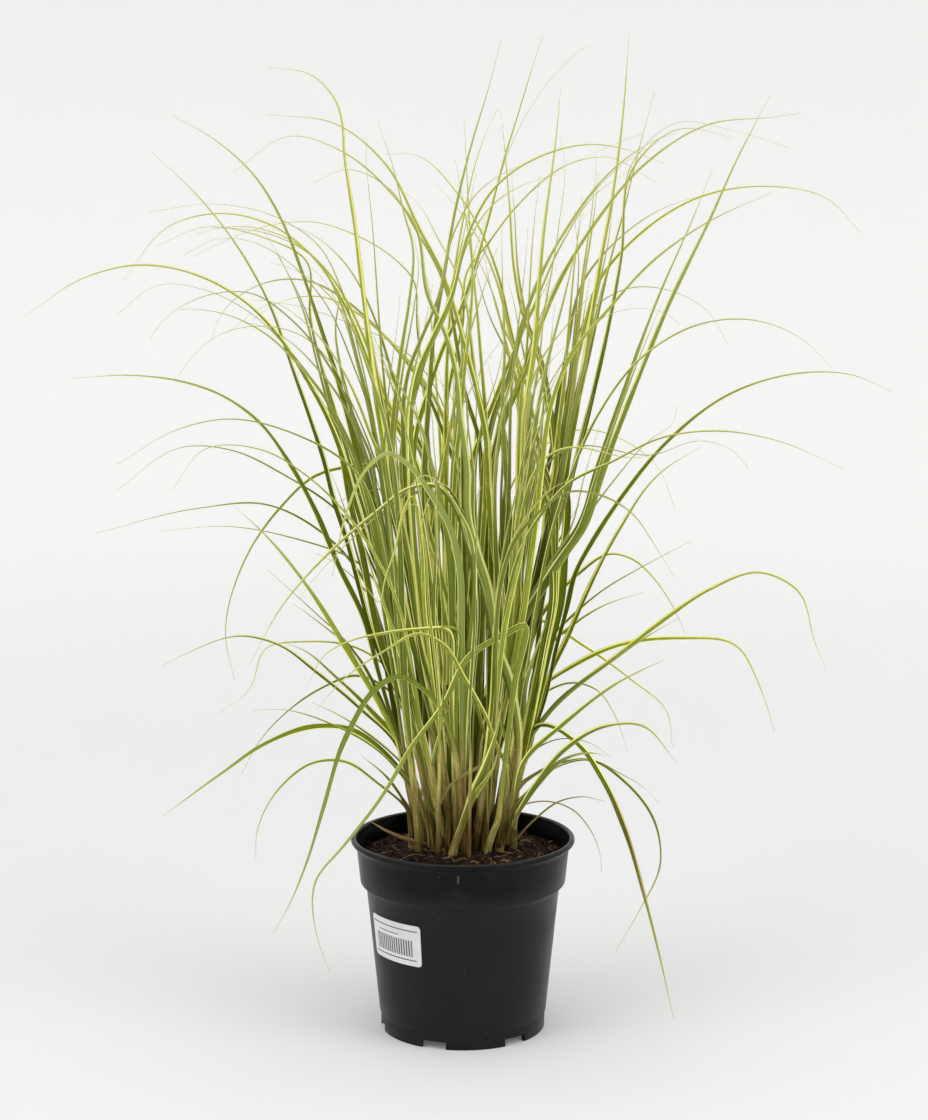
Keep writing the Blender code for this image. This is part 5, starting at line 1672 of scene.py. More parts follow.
def wear_group() -> bpy.types.NodeTree:
    """Dust, scuffs and a fine moulded grain, shared by the pot and its label.

    Returns:
        A group that turns a place into masks and a height.
    """
    graph, given, result = new_tree("dust_and_scuffs", "ShaderNodeTree", {"Place": "Vector"},
                                    dict.fromkeys(("Grain", "Dust", "Specks", "Scuffs"), "Float"))
    place = given["Place"]
    graph.feed(result["Grain"], graph.noise(place, 2600.0, 2.0, 0.6))
    graph.feed(result["Dust"], graph.step(graph.noise(place, 34.0, 4.0, 0.6), 0.42, 0.8))
    chosen = graph.parts(graph.cells(place, 210.0, "Color"))[0] > 0.84
    graph.feed(result["Specks"], chosen * (1.0 - graph.step(graph.cells(place, 210.0, "Distance"), 0.04, 0.11)))
    lines = graph.noise(graph.scaled(place, (210.0, 210.0, 14.0)), 1.0, 4.0, 0.7)
    patches = graph.step(graph.noise(place, 22.0, 2.0, 0.5), 0.55, 0.72)
    graph.feed(result["Scuffs"], graph.step(lines, 0.62, 0.72) * patches)
    return graph.tree


@dataclass(frozen=True)
class PotFinish(Finish):
    """The moulded pot: black plastic, dusty at the foot, with a few pale scuffs, painted darker on the collar as shade
    and with a painted highlight along the lip.
    """

    wear: bpy.types.NodeTree
    black: Point3 = srgb(24, 24, 26)
    collar_shade_black: Point3 = srgb(3, 3, 4)
    scuff_and_sheen: Point3 = srgb(120, 118, 115)
    collar_from: Point2 = (0.128, 0.142)
    foot_top: float = 0.022
    lip_sheen_from: Point2 = (0.1648, 0.1664)
    brink_sheen_from: Point2 = (0.1655, 0.1664)
    brink_sheen_reach: Point2 = (0.0914, 0.0924)
    scratch: tuple[Point2, Point2] = ((-0.0038, 0.0007), (0.1535, 0.0035))  # its middle and half size, each way

    def paint(self, graph: Graph) -> Surface:
        """Black with dust, specks, scuffs and one short scratch on the collar, painted shade on the collar and painted
        highlights on the lip's top and inner edge.
        """
        place = graph.place()
        marks = graph.group(self.wear, Place=place)
        x, y, height = graph.parts(place)
        collar = graph.step(height, *self.collar_from)
        foot = 1.0 - graph.step(height, 0.0, self.foot_top)
        # painted highlight: the top of the lip, and below it the lip's inner edge, are lightened
        lip = graph.step(height, *self.lip_sheen_from) * 0.5
        brink_sheen = graph.step(height, *self.brink_sheen_from) * (1.0 - graph.step(graph.reach(x, y), *self.brink_sheen_reach))
        dusty = marks["Dust"] * (graph.most(collar, foot) * 0.12 + 0.06)
        # painted shade: the collar is painted near black, darker than the body
        colour = graph.mix(graph.most(dusty, lip), graph.mix(collar, self.black, self.collar_shade_black), POT_DUST_AND_SHEEN)
        wide, tall = self.scratch
        scratch = graph.math("COMPARE", x, *wide) * graph.math("COMPARE", height, *tall) * (y < 0.0)
        # the lip's inner edge takes the pale colour as a painted highlight, beside real specks, scuffs and the scratch
        pale = graph.most(marks["Specks"] * 0.75, marks["Scuffs"] * (foot * 0.5 + 0.4), scratch * 0.4, brink_sheen * 0.5)
        waves = graph.noise(graph.scaled(place, (9.0, 9.0, 4.0)), 1.0, 1.0) * 12.0
        rough = graph.span(marks["Dust"], 0.30, 0.46) + marks["Grain"] * 0.06
        return Surface(graph.mix(pale, colour, self.scuff_and_sheen), rough, graph.bump(marks["Grain"] + waves, 0.00005, 0.5),
                       specular=0.15)


@dataclass(frozen=True)
class LabelFinish(Finish):
    """The blank sticker: white, with three plain rules and a field of even bars."""

    wear: bpy.types.NodeTree
    white: Point3 = srgb(222, 223, 224)
    ink: Point3 = srgb(34, 34, 36)
    bar_count: float = 22.0
    bars: Row = (0.12, 0.86, 0.22, 0.62)  # from left to right and from low to high
    rules: tuple[Row, ...] = ((0.05, 0.95, 0.84, 0.87), (0.2, 0.62, 0.70, 0.725), (0.05, 0.92, 0.12, 0.15))

    def paint(self, graph: Graph) -> Surface:
        """Rules and bars on the label's own coordinates, from 0 to 1 across and up."""
        across, up, _ = graph.parts(graph.place("UV"))
        marks = graph.group(self.wear, Place=graph.place())

        def field_of(left: float, right: float, low: float, high: float) -> Wire:
            """1 within a rectangle."""
            return (across > left) * (across < right) * ((up > low) * (up < high))

        ink = (graph.fract(across * self.bar_count) > 0.4) * field_of(*self.bars)
        ink = graph.most(ink, *(field_of(*rule) for rule in self.rules))
        colour = graph.mix(ink * graph.span(marks["Dust"], 0.92, 0.75), self.white, self.ink)
        colour = graph.mix(marks["Dust"] * 0.12, colour, POT_DUST_AND_SHEEN)
        return Surface(colour, graph.span(marks["Grain"], 0.32, 0.44), graph.bump(marks["Grain"], 0.00002, 0.4))


@dataclass(frozen=True)
class PaperFinish(Finish):
    """The studio's paper: almost white, faintly mottled, and lit of itself far from the pot."""

    near: tuple[Point3, Point3] = (srgb(227, 228, 228), srgb(232, 233, 233))
    far: Point3 = srgb(245, 245, 244)
    # painted glow near the pot, which lightens the cast shadows there
    glow_near: Point3 = (0.080, 0.080, 0.0795)
    glow_far: Point3 = (0.213, 0.213, 0.211)

    def paint(self, graph: Graph) -> Surface:
        """Paler and brighter with the distance from the pot: painted shade on the paper round the pot, and a painted
        glow, faint near the pot where it lightens the cast shadows and stronger far off.
        """
        cloud = graph.noise(graph.place(), 1.5, 3.0, 0.5)
        x, y, z = graph.parts(graph.place())
        far = graph.step(graph.reach(x, y), 0.5, 3.2)
        lit = far * graph.span(graph.step(z, 0.1, 1.2), 1.0, 0.5)
        return Surface(graph.mix(far, graph.mix(cloud, *self.near), self.far), graph.span(cloud, 0.75, 0.85),
                       specular=0.2, glow=graph.mix(lit, self.glow_near, self.glow_far))


def mark_sharp(mesh: bpy.types.Mesh, angle: float) -> None:
    """Smooth shading that breaks at edges sharper than an angle, in degrees."""
    mesh.polygons.foreach_set("use_smooth", [True] * len(mesh.polygons))
    mesh.set_sharp_from_angle(angle=math.radians(angle))


@dataclass(frozen=True)
class Pot:
    """The moulded nursery pot, its sizes as in the solids."""

    rim_radius: float = 95.0
    lip_width: float = 4.7
    lip_half: Point2 = (2.35, 2.6)
    height: float = 166.5
    collar_top_radius: float = 90.0
    collar_bottom_radius: float = 87.0
    collar_bottom: float = 127.0
    body_top_radius: float = 82.0
    body_top: float = 123.0
    body_bottom_radius: float = 71.0
    foot_top: float = 14.5
    foot_radius: float = 69.9
    foot_width: float = 3.6
    wall: float = 1.7
    floor_low: float = 7.5
    floor_high: float = 10.5
    floor_round: float = 1.5
    notch_count: int = 6
    notch_first: float = -20.5
    notch_size: Point3 = (21.5, 16.0, 13.0)
    turns: int = 180

    def body_radius(self, height: float) -> float:
        """The body's outer radius at a height."""
        share = (height - self.foot_top) / (self.body_top - self.foot_top)
        return self.body_bottom_radius + (self.body_top_radius - self.body_bottom_radius) * share

    def profile(self) -> list[Point2]:
        """The wall's outline, from the middle of its floor over the lip and down to its foot.

        Returns:
            (radius, height) of each point.
        """
        body, wall = self.body_radius, self.wall
        collar_top, collar_bottom = self.collar_top_radius, self.collar_bottom_radius
        foot = self.foot_radius
        out, up = self.lip_half
        lip = [(self.rim_radius - out + out * math.cos(a), self.height - up + up * math.sin(a))
               for a in np.linspace(math.pi, -0.45 * math.pi, 15)]
        return [
            (0.0, self.floor_high), (body(self.floor_high) - wall - self.floor_round, self.floor_high),
            (body(self.foot_top) - wall, self.foot_top), (self.body_top_radius - wall, self.body_top - 1.0),
            (collar_bottom - wall, self.collar_bottom - 1.0), (collar_top - wall, self.height - 9.5),
            (self.rim_radius - self.lip_width - 0.3, self.height - 4.5), *lip,
            (collar_top + 1.0, self.height - 6.6), (collar_top + 0.25, self.height - 8.6),
            (collar_top, self.height - 10.5), (collar_bottom + 0.25, self.collar_bottom + 2.2),
            (collar_bottom, self.collar_bottom + 1.0), (collar_bottom - 0.6, self.collar_bottom + 0.2),
            (self.body_top_radius + 0.7, self.body_top + 0.6), (self.body_top_radius, self.body_top - 0.4),
            *((body(level), level) for level in (100.0, 70.0, 40.0)),
            (self.body_bottom_radius + 0.1, self.foot_top + 0.8), (self.body_bottom_radius - 0.3, self.foot_top),
            (foot + 0.3, self.foot_top - 0.6), (foot, 0.8), (foot - 0.5, 0.0), (foot - self.foot_width, 0.0),
            (foot - self.foot_width - 1.0, self.floor_low), (0.0, self.floor_low),
        ]

    def notch(self, index: int) -> bpy.types.Object:
        """A block where a notch is cut, in the foot.

        Args:
            index: Which notch, from 0.

        Returns:
            The block.
        """
        corner = [0.5 * size * MM for size in self.notch_size]
        points = [tuple((2 * sign - 1) * half for sign, half in zip(signs, corner)) for signs in np.ndindex(2, 2, 2)]
        mesh = bpy.data.meshes.new("notch")
        mesh.from_pydata(points, [], [(0, 1, 3, 2), (4, 6, 7, 5), (0, 4, 5, 1), (2, 3, 7, 6), (0, 2, 6, 4),
                                      (1, 5, 7, 3)])
        angle = math.radians(self.notch_first + index * 360.0 / self.notch_count)
        reach = (self.foot_radius - 1.0) * MM
        cutter = linked(f"notch_{index + 1}", mesh)
        cutter.location = (math.sin(angle) * reach, -math.cos(angle) * reach, 0.0)
        cutter.rotation_euler[2] = angle
        return cutter

    def build(self, material: bpy.types.Material) -> bpy.types.Object:
        """A fine turned wall with a rounded lip and six notches cut in its foot.

        Args:
            material: Its finish.

        Returns:
            The piece that replaces the pot's solid.
        """
        profile = self.profile()
        rings = circles(profile[1:-1], self.turns)
        mesh = ringed_mesh("pot_moulded", rings, (0.0, 0.0, profile[0][1]), (0.0, 0.0, profile[-1][1]))
        pot = linked("pot_moulded", mesh, material)
        cutters = [self.notch(index) for index in range(self.notch_count)]
        for cutter in cutters:
            cutter.data.materials.append(material)
            modifier = pot.modifiers.new("Notch", "BOOLEAN")
            modifier.operation = "DIFFERENCE"
            modifier.solver = "EXACT"
            modifier.object = cutter
        bpy.context.view_layer.update()
        mesh = bpy.data.meshes.new_from_object(pot.evaluated_get(bpy.context.evaluated_depsgraph_get()))
        pot.modifiers.clear()
        pot.data = mesh
        for cutter in cutters:
            bpy.data.objects.remove(cutter)
        mark_sharp(mesh, 38.0)
        return dressed(pot, "pot")


@dataclass(frozen=True)
class Label:
    """The sticker: a thin sheet with rounded corners, bent round the pot."""

    pot: Pot
    left: float = -69.0  # degrees round from the front
    right: float = -26.0
    low: float = 72.0
    high: float = 108.0
    thick: float = 0.4
    corner: float = 3.2
    columns: int = 40
    rows: int = 5

    def sheet(self) -> tuple[float, float, list[tuple[float, np.ndarray]]]:
        """The flat sheet.

        Returns:
            Its width, its height, and the places across it with the points up it at each.
        """
        width = math.radians(self.right - self.left) * self.pot.body_radius(90.0)
        height = self.high - self.low
        turned = [self.corner * (1.0 - math.cos(math.pi * part / 12.0)) for part in range(7)]
        across = {round(x, 4) for step in turned for x in (step, width - step)}
        columns = []
        for x in sorted(across | {width * step / self.columns for step in range(self.columns + 1)}):
            inset = self.corner - min(x, width - x, self.corner)
            bite = self.corner - math.sqrt(max(0.0, self.corner**2 - inset**2))
            columns.append((x, np.linspace(bite, height - bite, self.rows)))
        return width, height, columns

    def build(self, material: bpy.types.Material) -> bpy.types.Object:
        """The sheet bent round the body, with its own coordinates from 0 to 1 across and up.

        Args:
            material: Its finish.

        Returns:
            The piece that replaces the label's solid.
        """
        width, height, columns = self.sheet()
        grid, uvs = [], []
        for x, levels in columns:
            angle = math.radians(self.left) + x / self.pot.body_radius(90.0)
            for proud, side in ((GAP + self.thick, levels), (GAP, levels[::-1])):
                for z in side:
                    reach = self.pot.body_radius(self.low + z) + proud
                    grid.append((math.sin(angle) * reach, -math.cos(angle) * reach, self.low + z))
                    uvs.append((x / width, z / height))
        points = np.array(grid).reshape(len(columns), 2 * self.rows, 3)
        mesh = bpy.data.meshes.new("label_sticker")
        mesh.from_pydata(np.array(grid) * MM, [], [face[::-1] for face in shell_faces(points)])
        layer = mesh.uv_layers.new(name="label")
        for loop in mesh.loops:
            layer.uv[loop.index].vector = uvs[loop.vertex_index]
        mark_sharp(mesh, 40.0)
        return dressed(linked("label_sticker", mesh, material), "label")


@dataclass(frozen=True)
class SoilBed:
    """The potting mix that fills the pot, its profile as in the solids."""

    pot: Pot
    edge: float = 149.5
    radius: float = 86.7
    shoulder: float = 153.0
    shoulder_radius: float = 68.0
    crown_radius: float = 54.0
    swells: Point2 = (1.3, 21.0)  # their height and their size
    lumps: Point2 = (1.1, 6.5)
    even_edge: float = 5.0
    rings: int = 64
    turns: int = 160

    def level(self, x: float, y: float) -> float:
        """The level of the potting mix at a place: the solid's profile with lumps and pits.

        Args:
            x: The place's x.
            y: The place's y.

        Returns:
            The height.
        """
        reach = math.hypot(x, y)
        level = float(np.interp(reach, (0.0, self.crown_radius, self.shoulder_radius, self.radius),
                                (SOIL_CROWN, SOIL_CROWN, self.shoulder, self.edge)))
        swell = noise.noise(Vector((x, y, 3.0)) / self.swells[1])
        lump = noise.fractal(Vector((x, y, 9.0)) / self.lumps[1], 0.9, 2.1, 4)
        edge = min(1.0, (self.radius + 0.8 - reach) / self.even_edge)
        return level + edge * (self.swells[0] * swell + self.lumps[0] * lump)

    def top(self, radius: float, rings: int, turns: int) -> np.ndarray:
        """Rings on the lumpy top, out to a radius.

        Args:
            radius: The radius.
            rings: How many rings.
            turns: How many points in each.

        Returns:
            The points as (rings, turns, 3).
        """
        made = circles([(radius * ring / rings, 0.0) for ring in range(1, rings + 1)], turns)
        for point in made.reshape(-1, 3):
            point[2] = self.level(point[0], point[1])
        return made

    def patch(self, name: str) -> bpy.types.Object:
        """The top alone, for crumbs to lie on."""
        return linked(name, ringed_mesh(name, self.top(self.radius - 1.0, 30, 72), (0.0, 0.0, self.level(0.0, 0.0))))

    def build(self, material: bpy.types.Material) -> bpy.types.Object:
        """The lumpy top on the body that fills the pot.

        Args:
            material: Its finish.

        Returns:
            The piece that replaces the soil's solid.
        """
        pot = self.pot
        inside = pot.wall + 2 * GAP
        sides = circles([(pot.collar_bottom_radius - inside, pot.collar_bottom),
                         (pot.body_top_radius - inside, pot.body_top - 1.0),
                         (pot.body_radius(pot.foot_top) - inside, pot.foot_top),
                         (pot.body_radius(pot.floor_high) - inside - pot.floor_round, pot.floor_high + GAP)],
                        self.turns)
        rings = np.concatenate([self.top(self.radius + 0.5, self.rings, self.turns), sides])
        mesh = ringed_mesh("soil_bed", rings, (0.0, 0.0, self.level(0.0, 0.0)), (0.0, 0.0, pot.floor_high + GAP))
        return dressed(linked("soil_bed", mesh, material), "soil")


def grown(name: str, source: bpy.types.Object, tree: bpy.types.NodeTree, **values: object) -> bpy.types.Object:
    """What a geometry tree makes from an object, as an object of its own.

    Args:
        name: The new object's name.
        source: The object that the tree starts from. It is removed.
        tree: The geometry tree.
        values: Its inputs by name, an underscore standing for a space.

    Returns:
        The new object.
    """
    modifier = source.modifiers.new("Grow", "NODES")
    modifier.node_group = tree
    sockets = {item.name: item.identifier for item in tree.interface.items_tree if item.in_out == "INPUT"}
    for label, value in values.items():
        modifier[sockets[label.replace("_", " ")]] = value
    bpy.context.view_layer.update()
    mesh = bpy.data.meshes.new_from_object(source.evaluated_get(bpy.context.evaluated_depsgraph_get()))
    bpy.data.objects.remove(source)
    return linked(name, mesh)


def crumb_tree(material: bpy.types.Material) -> bpy.types.NodeTree:
    """Loose crumbs over a surface: uneven lumps at seeded places, sunk a little into it.

    Args:
        material: Their finish.

    Returns:
        A geometry tree with Density, Least Size, Most Size, Stretch and Seed.
    """
    inputs = {"Geometry": "Geometry", "Density": "Float", "Least Size": "Float", "Most Size": "Float",
              "Stretch": "Float", "Seed": "Int"}
    graph, given, result = new_tree("loose_crumbs", "GeometryNodeTree", inputs, {"Geometry": "Geometry"})
    spots = graph.add("GeometryNodeDistributePointsOnFaces",
                      {"Mesh": given["Geometry"], "Density": given["Density"], "Seed": given["Seed"]}, "Points")
    ball = graph.add("GeometryNodeMeshIcoSphere", {"Radius": 1.0, "Subdivisions": 2}, "Mesh")
    dents = graph.add("ShaderNodeTexNoise", {"Scale": 1.1}, "Fac")
    push = graph.add("ShaderNodeVectorMath", {0: graph.add("GeometryNodeInputNormal"), "Scale": dents * 1.6 - 0.85},
                     operation="SCALE")
    lump = graph.add("GeometryNodeSetPosition", {"Geometry": ball, "Offset": push})
    size = graph.add("FunctionNodeRandomValue", {"Min": given["Least Size"], "Max": given["Most Size"],
                                                 "Seed": given["Seed"]}, "Value", data_type="FLOAT")
    turn = graph.add("FunctionNodeRandomValue", {"Max": (0.9, 0.9, 6.283), "Seed": given["Seed"]}, "Value",
                     data_type="FLOAT_VECTOR")
    copies = graph.add("GeometryNodeInstanceOnPoints",
                       {"Points": spots, "Instance": lump, "Rotation": turn,
                        "Scale": graph.vector(size * given["Stretch"], size, size * 0.7)})
    whole = graph.add("GeometryNodeRealizeInstances", {0: copies})
    graph.feed(result["Geometry"], graph.add("GeometryNodeSetMaterial", {"Geometry": whole, "Material": material}))
    return graph.tree


def fibre_tree(material: bpy.types.Material) -> bpy.types.NodeTree:
    """Round fibres along a mesh's edges, thinner towards each end.

    Args:
        material: Their finish.

    Returns:
        A geometry tree with Radius.
    """
    graph, given, result = new_tree("fibres_along", "GeometryNodeTree", {"Geometry": "Geometry", "Radius": "Float"},
                                    {"Geometry": "Geometry"})
    curves = graph.add("GeometryNodeMeshToCurve", {"Mesh": given["Geometry"]})
    ring = graph.add("GeometryNodeCurvePrimitiveCircle", {"Resolution": 6, "Radius": given["Radius"]})
    from_middle = graph.math("ABSOLUTE", graph.add("GeometryNodeSplineParameter", out="Factor") * 2.0 - 1.0)
    taper = 1.0 - graph.math("POWER", from_middle, 3.0)
    thick = graph.add("GeometryNodeSetCurveRadius", {"Curve": curves, "Radius": taper * 0.8 + 0.2})
    tube = graph.add("GeometryNodeCurveToMesh", {"Curve": thick, "Profile Curve": ring, "Fill Caps": True})
    whole = graph.add("GeometryNodeRealizeInstances", {0: tube})
    graph.feed(result["Geometry"], graph.add("GeometryNodeSetMaterial", {"Geometry": whole, "Material": material}))
    return graph.tree


@dataclass
class SoilLitter:
    """What lies loose on the potting mix.

    A kind of crumb is its piece's name, how many lie on a square metre, its least and most size in metres, how
    long it is for its width, and a seed. A kind of fibre is its piece's name, how many there are, their radius in
    metres, their least and most length in mm, and their finish.
    """

    bed: SoilBed
    materials: dict[str, bpy.types.Material]
    rng: random.Random
    crumb_kinds: tuple = (("crumbs_fine", 90000.0, 0.0004, 0.0013, 1.2, 3),
                          ("crumbs_coarse", 14000.0, 0.0010, 0.0030, 1.6, 8))
    fibre_kinds: tuple = (("roots_pale", 54, 0.00025, 7.0, 24.0, "root"),
                          ("fibres_dark", 170, 0.00022, 5.0, 18.0, "fibre"))
    fibre_points: int = 9
    bend: float = 0.25
    wander: float = 0.15
    straw_count: int = 84
    heaped_count: int = 70
    heap: tuple[Point2, Point2] = ((42.0, 12.0), (-60.0, 9.0))  # its middle and its spread, in x and in y
    free_edge: float = 2.0

    def crumbs(self) -> None:
        """Coarse bark bits and fine crumbs."""
        tree = crumb_tree(self.materials["crumb"])
        for name, density, least, most, stretch, seed in self.crumb_kinds:
            dressed(grown(name, self.bed.patch(name + "_bed"), tree, Density=density, Least_Size=least,
                          Most_Size=most, Stretch=stretch, Seed=seed))

    def fibre(self, reach: float, length: float, lift: float) -> list[Point3]:
        """One fibre's points on the soil.

        Args:
            reach: How far from the pot's middle it starts.
            length: Its length.
            lift: How far its middle is off the soil.

        Returns:
            The points, fewer where it would leave the pot.
        """
        rng = self.rng
        angle = rng.uniform(0.0, 2.0 * math.pi)
        x, y = reach * math.cos(angle), reach * math.sin(angle)
        heading = rng.uniform(0.0, 2.0 * math.pi)
        bend = rng.uniform(-self.bend, self.bend)
        steps = self.fibre_points - 1
        points = []
        for step in range(self.fibre_points):
            points.append((x, y, self.bed.level(x, y) + 0.5 + lift * math.sin(math.pi * step / steps)))
            heading += bend + rng.uniform(-self.wander, self.wander)
            x += math.cos(heading) * length / steps
            y += math.sin(heading) * length / steps
            if math.hypot(x, y) > self.bed.radius - self.free_edge:
                break
        return points

    def fibres(self) -> None:
        """Pale roots and dark fibres."""
        rng = self.rng
        for name, count, radius, low, high, look in self.fibre_kinds:
            points: list[Point3] = []
            edges: list[tuple[int, int]] = []
            for _ in range(count):
                line = self.fibre(rng.uniform(20.0, 80.0), rng.uniform(low, high), rng.uniform(0.3, 2.4))
                edges += [(len(points) + i, len(points) + i + 1) for i in range(len(line) - 1)]
                points += line
            mesh = bpy.data.meshes.new(name + "_lines")
            mesh.from_pydata(np.array(points) * MM, edges, [])
            made = grown(name, linked(name + "_lines", mesh), fibre_tree(self.materials[look]), Radius=radius)
            dressed(made)

    def straws(self) -> None:
        """Bits of dead leaf and stalk, mostly right of the middle at the front."""
        rng = self.rng
        parts = MeshParts()
        for index in range(self.straw_count):
            heaped = index < self.heaped_count
            middle = [rng.gauss(*spread) for spread in self.heap] if heaped else None
            line = self.fibre(rng.uniform(30.0, 80.0), rng.uniform(3.0, 9.0) * (1.0 if heaped else 2.4),
                              rng.uniform(0.3, 2.5))
            if middle:
                shift = (middle[0] - line[0][0], middle[1] - line[0][1])
                line = [(x + shift[0], y + shift[1]) for x, y, _ in line]
                line = [(x, y, self.bed.level(x, y) + 0.7 + 1.5 * math.sin(0.4 * i)) for i, (x, y) in enumerate(line)
                        if math.hypot(x, y) < self.bed.radius - self.free_edge]
            if len(line) < 4:
                continue
            leaf = Leaf(np.array(line), rng.uniform(0.2, 0.6) * np.array([0.5, 1.0, 1.0, 0.7, 0.3]), Tone.TAN,
                        rng.random())
            warm = rng.uniform(0.2, 1.0) if heaped else rng.uniform(0.0, 0.6)
            leaf.add_to(parts, (warm, 0.0, 1.0), (rng.random(), 0.5 * rng.random(), 0.1), 0)
        dressed(parts.build("straw_bits", [self.materials["husk"]]))

    def build(self) -> None:
        """Lays all of it."""
        self.crumbs()
        self.fibres()
        self.straws()


@dataclass(frozen=True)
class StudioFloor:
    """The studio's pale paper: a flat round floor that curves up far from the pot on every side."""

    radius: float = 5000.0
    bend: float = 2000.0
    wall: float = 3200.0
    turns: int = 96

    def build(self, material: bpy.types.Material) -> None:
        """Adds it to the scene.

        Args:
            material: Its finish.
        """
        flat = self.radius - self.bend
        profile = [(20.0, 0.0), (1000.0, 0.0), (flat, 0.0)]
        profile += [(flat + self.bend * math.sin(a), self.bend * (1.0 - math.cos(a)))
                    for a in np.linspace(0.1, 0.5 * math.pi, 12)]
        profile.append((self.radius, self.bend + self.wall))
        mesh = ringed_mesh("studio_floor", circles(profile, self.turns), (0.0, 0.0, 0.0))
        linked("studio_floor", mesh, material)


@dataclass(frozen=True)
class SoftBox:
    """One studio light: where it stands, what it points at, its size in metres and its power in watts."""

    name: str
    place: Point3
    aim: Point3
    size: Point2
    watts: float

    def build(self) -> None:
        """Adds the light, unseen by the camera."""
        light = bpy.data.lights.new(self.name, "AREA")
        light.shape = "RECTANGLE"
        light.size, light.size_y = self.size
        light.energy = self.watts
        made = bpy.data.objects.new(self.name, light)
        made.location = self.place
        made.rotation_euler = (Vector(self.aim) - Vector(self.place)).to_track_quat("-Z", "Y").to_euler()
        made.visible_camera = False
        bpy.context.scene.collection.objects.link(made)


@dataclass(frozen=True)
class Studio:
    """A plain pale surround and three soft boxes, and the camera where the photograph's was, in metres."""

    sky: float = 0.37
    boxes: tuple[SoftBox, ...] = (SoftBox("light_left", (-2.2, -1.6, 2.2), (0.0, 0.0, 0.35), (2.0, 2.2), 25.5),
                                  SoftBox("light_right", (2.3, -1.3, 1.9), (0.0, 0.0, 0.35), (1.8, 2.2), 24.5),
                                  SoftBox("light_top", (0.0, -0.2, 3.2), (0.0, 0.0, 0.0), (2.6, 2.6), 30.0))
    eye: Point3 = (0.001, -2.2915, 0.7913)
    pitch: float = 80.4
    lens: float = 89.42
    sensor: float = 36.0

    def light(self) -> None:
        """Lights the scene."""
        world = bpy.data.worlds.new("studio")
        world.use_nodes = True
        background = world.node_tree.nodes["Background"]
        background.inputs["Color"].default_value = (1.0, 1.0, 1.0, 1.0)
        background.inputs["Strength"].default_value = self.sky
        bpy.context.scene.world = world
        for box in self.boxes:
            box.build()
        bpy.context.scene.view_settings.view_transform = "Standard"

    def look(self) -> None:
        """Places the camera."""
        lens = bpy.data.cameras.new("photo_camera")
        lens.lens = self.lens
        lens.sensor_width = self.sensor
        lens.sensor_fit = "AUTO"
        camera = bpy.data.objects.new("photo_camera", lens)
        camera.location = self.eye
        camera.rotation_euler = (math.radians(self.pitch), 0.0, 0.0)
        bpy.context.scene.collection.objects.link(camera)
        bpy.context.scene.camera = camera


def build_materials() -> dict[str, bpy.types.Material]:
    """All the finishes by name.

    Returns:
        The materials.
    """
    grain = stripe_group()
    wear = wear_group()
    finishes = {
        "leaf": LeafFinish("leaf_striped", grain),
        "sheath": StemFinish("sheath_wrapped", grain),
        "husk": HuskFinish("husk_dry", grain),
        "soil": SoilFinish("peat_damp"),
        "crumb": CrumbFinish("peat_crumbs"),
        "root": FibreFinish("root_pale", srgb(176, 146, 110), srgb(110, 82, 56)),
        "fibre": FibreFinish("fibre_dark", srgb(84, 58, 40), srgb(46, 32, 24)),
        "pot": PotFinish("pot_black_plastic", wear),
        "label": LabelFinish("label_paper", wear),
        "floor": PaperFinish("studio_paper"),
    }
    return {name: finish.material() for name, finish in finishes.items()}


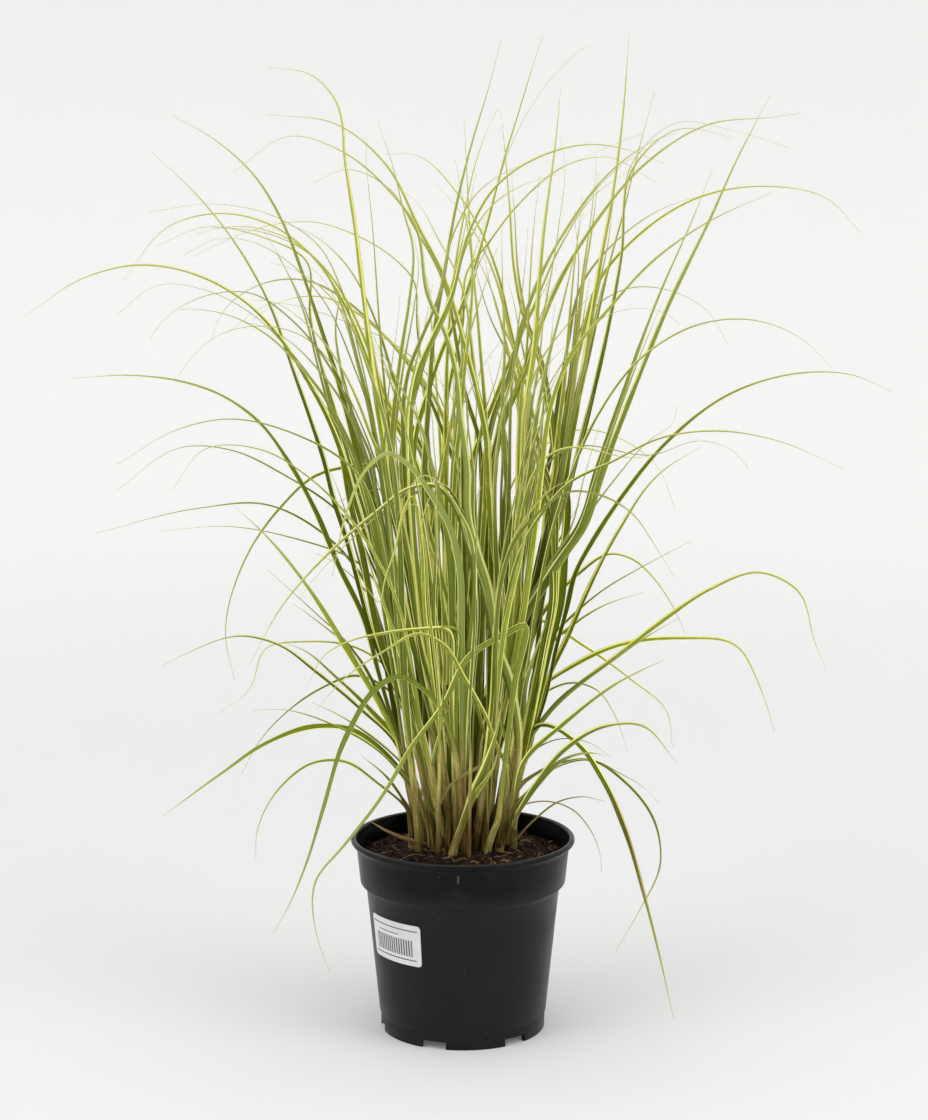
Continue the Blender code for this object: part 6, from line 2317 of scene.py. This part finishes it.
@dataclass(frozen=True)
class Crowding:
    """How much the leaves keep the light from one another, counted in cells."""

    cell: float = 10.0
    reach: Point3 = (380.0, 380.0, 860.0)
    lowest: float = 140.0
    full: float = 60.0
    fade: float = 0.16
    upward: float = 0.25
    ways: tuple[tuple[int, int, float], ...] = ((0, 1, 1.0), (0, -1, 1.0), (1, 1, 1.0), (1, -1, 1.0), (2, -1, 2.0))

    def shade(self, cloud: np.ndarray, low: np.ndarray) -> np.ndarray:
        """The share of the light that is kept from each cell.

        The leaves' points are counted. From each cell the count is summed outwards and upwards, and the light that
        comes through fades with it.

        Args:
            cloud: All the points.
            low: The lowest corner of the first cell.

        Returns:
            The shares, from 0 to 1.
        """
        sizes = np.round((np.array(self.reach) - low) / self.cell).astype(int)
        edges = [low[axis] + self.cell * np.arange(sizes[axis] + 1) for axis in range(3)]
        counts = np.histogramdd(cloud, bins=edges)[0] / self.full
        for axis in range(3):
            counts = 0.25 * np.roll(counts, 1, axis) + 0.5 * counts + 0.25 * np.roll(counts, -1, axis)
        passed = np.zeros_like(counts)
        for axis, way, weight in self.ways:
            order = np.flip(counts, axis) if way < 0 else counts
            ahead = np.cumsum(order, axis) - 0.5 * order
            ahead = np.flip(ahead, axis) if way < 0 else ahead
            passed += weight * np.exp(-self.fade * (self.upward if axis == 2 else 1.0) * ahead)
        return 1.0 - passed / sum(way[2] for way in self.ways)

    def write(self, pieces: Sequence[bpy.types.Object]) -> None:
        """Writes it onto every grass piece as "crowd", between the cells' middles as it goes; the finishes paint it on
        as shade.

        Args:
            pieces: All the grass.
        """
        clouds = []
        for piece in pieces:
            rows = np.empty(3 * len(piece.data.vertices), np.float32)
            piece.data.vertices.foreach_get("co", rows)
            clouds.append(rows.reshape(-1, 3) / MM)
        low = np.array((-self.reach[0], -self.reach[1], self.lowest))
        shade = self.shade(np.concatenate(clouds), low)
        for piece, cloud in zip(pieces, clouds):
            at = np.clip((cloud - low) / self.cell - 0.5, 0.0, np.array(shade.shape) - 1.001)
            cell = at.astype(int)
            part = at - cell
            value = np.zeros(len(cloud))
            for step in np.ndindex(2, 2, 2):
                weight = np.prod(np.where(np.array(step) == 1, part, 1.0 - part), axis=1)
                value += weight * shade[tuple((cell + step).T)]
            piece.data.attributes.new("crowd", "FLOAT", "POINT").data.foreach_set("value", value.astype(np.float32))


def dress_clump(materials: dict[str, bpy.types.Material]) -> None:
    """Builds every tiller where its solid stands.

    Args:
        materials: The finishes by name.
    """
    bases = tiller_bases()
    tillers = [Tiller(name, bases[name], rows) for name, rows in BLADES.items()]
    settle(tillers)
    slots = [materials["leaf"], materials["sheath"], materials["husk"]]
    pieces = [TillerLook(tiller, random.Random(100 + index)).build(slots) for index, tiller in enumerate(tillers)]
    Crowding().write(pieces)


def main() -> None:
    """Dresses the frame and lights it."""
    logging.basicConfig(level=logging.INFO, format="%(name)s: %(message)s")
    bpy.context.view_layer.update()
    materials = build_materials()
    pot = Pot()
    bed = SoilBed(pot)
    pot.build(materials["pot"])
    Label(pot).build(materials["label"])
    bed.build(materials["soil"])
    SoilLitter(bed, materials, random.Random(7)).build()
    dress_clump(materials)
    StudioFloor().build(materials["floor"])
    studio = Studio()
    studio.light()
    studio.look()


if __name__ == "__main__":
    main()
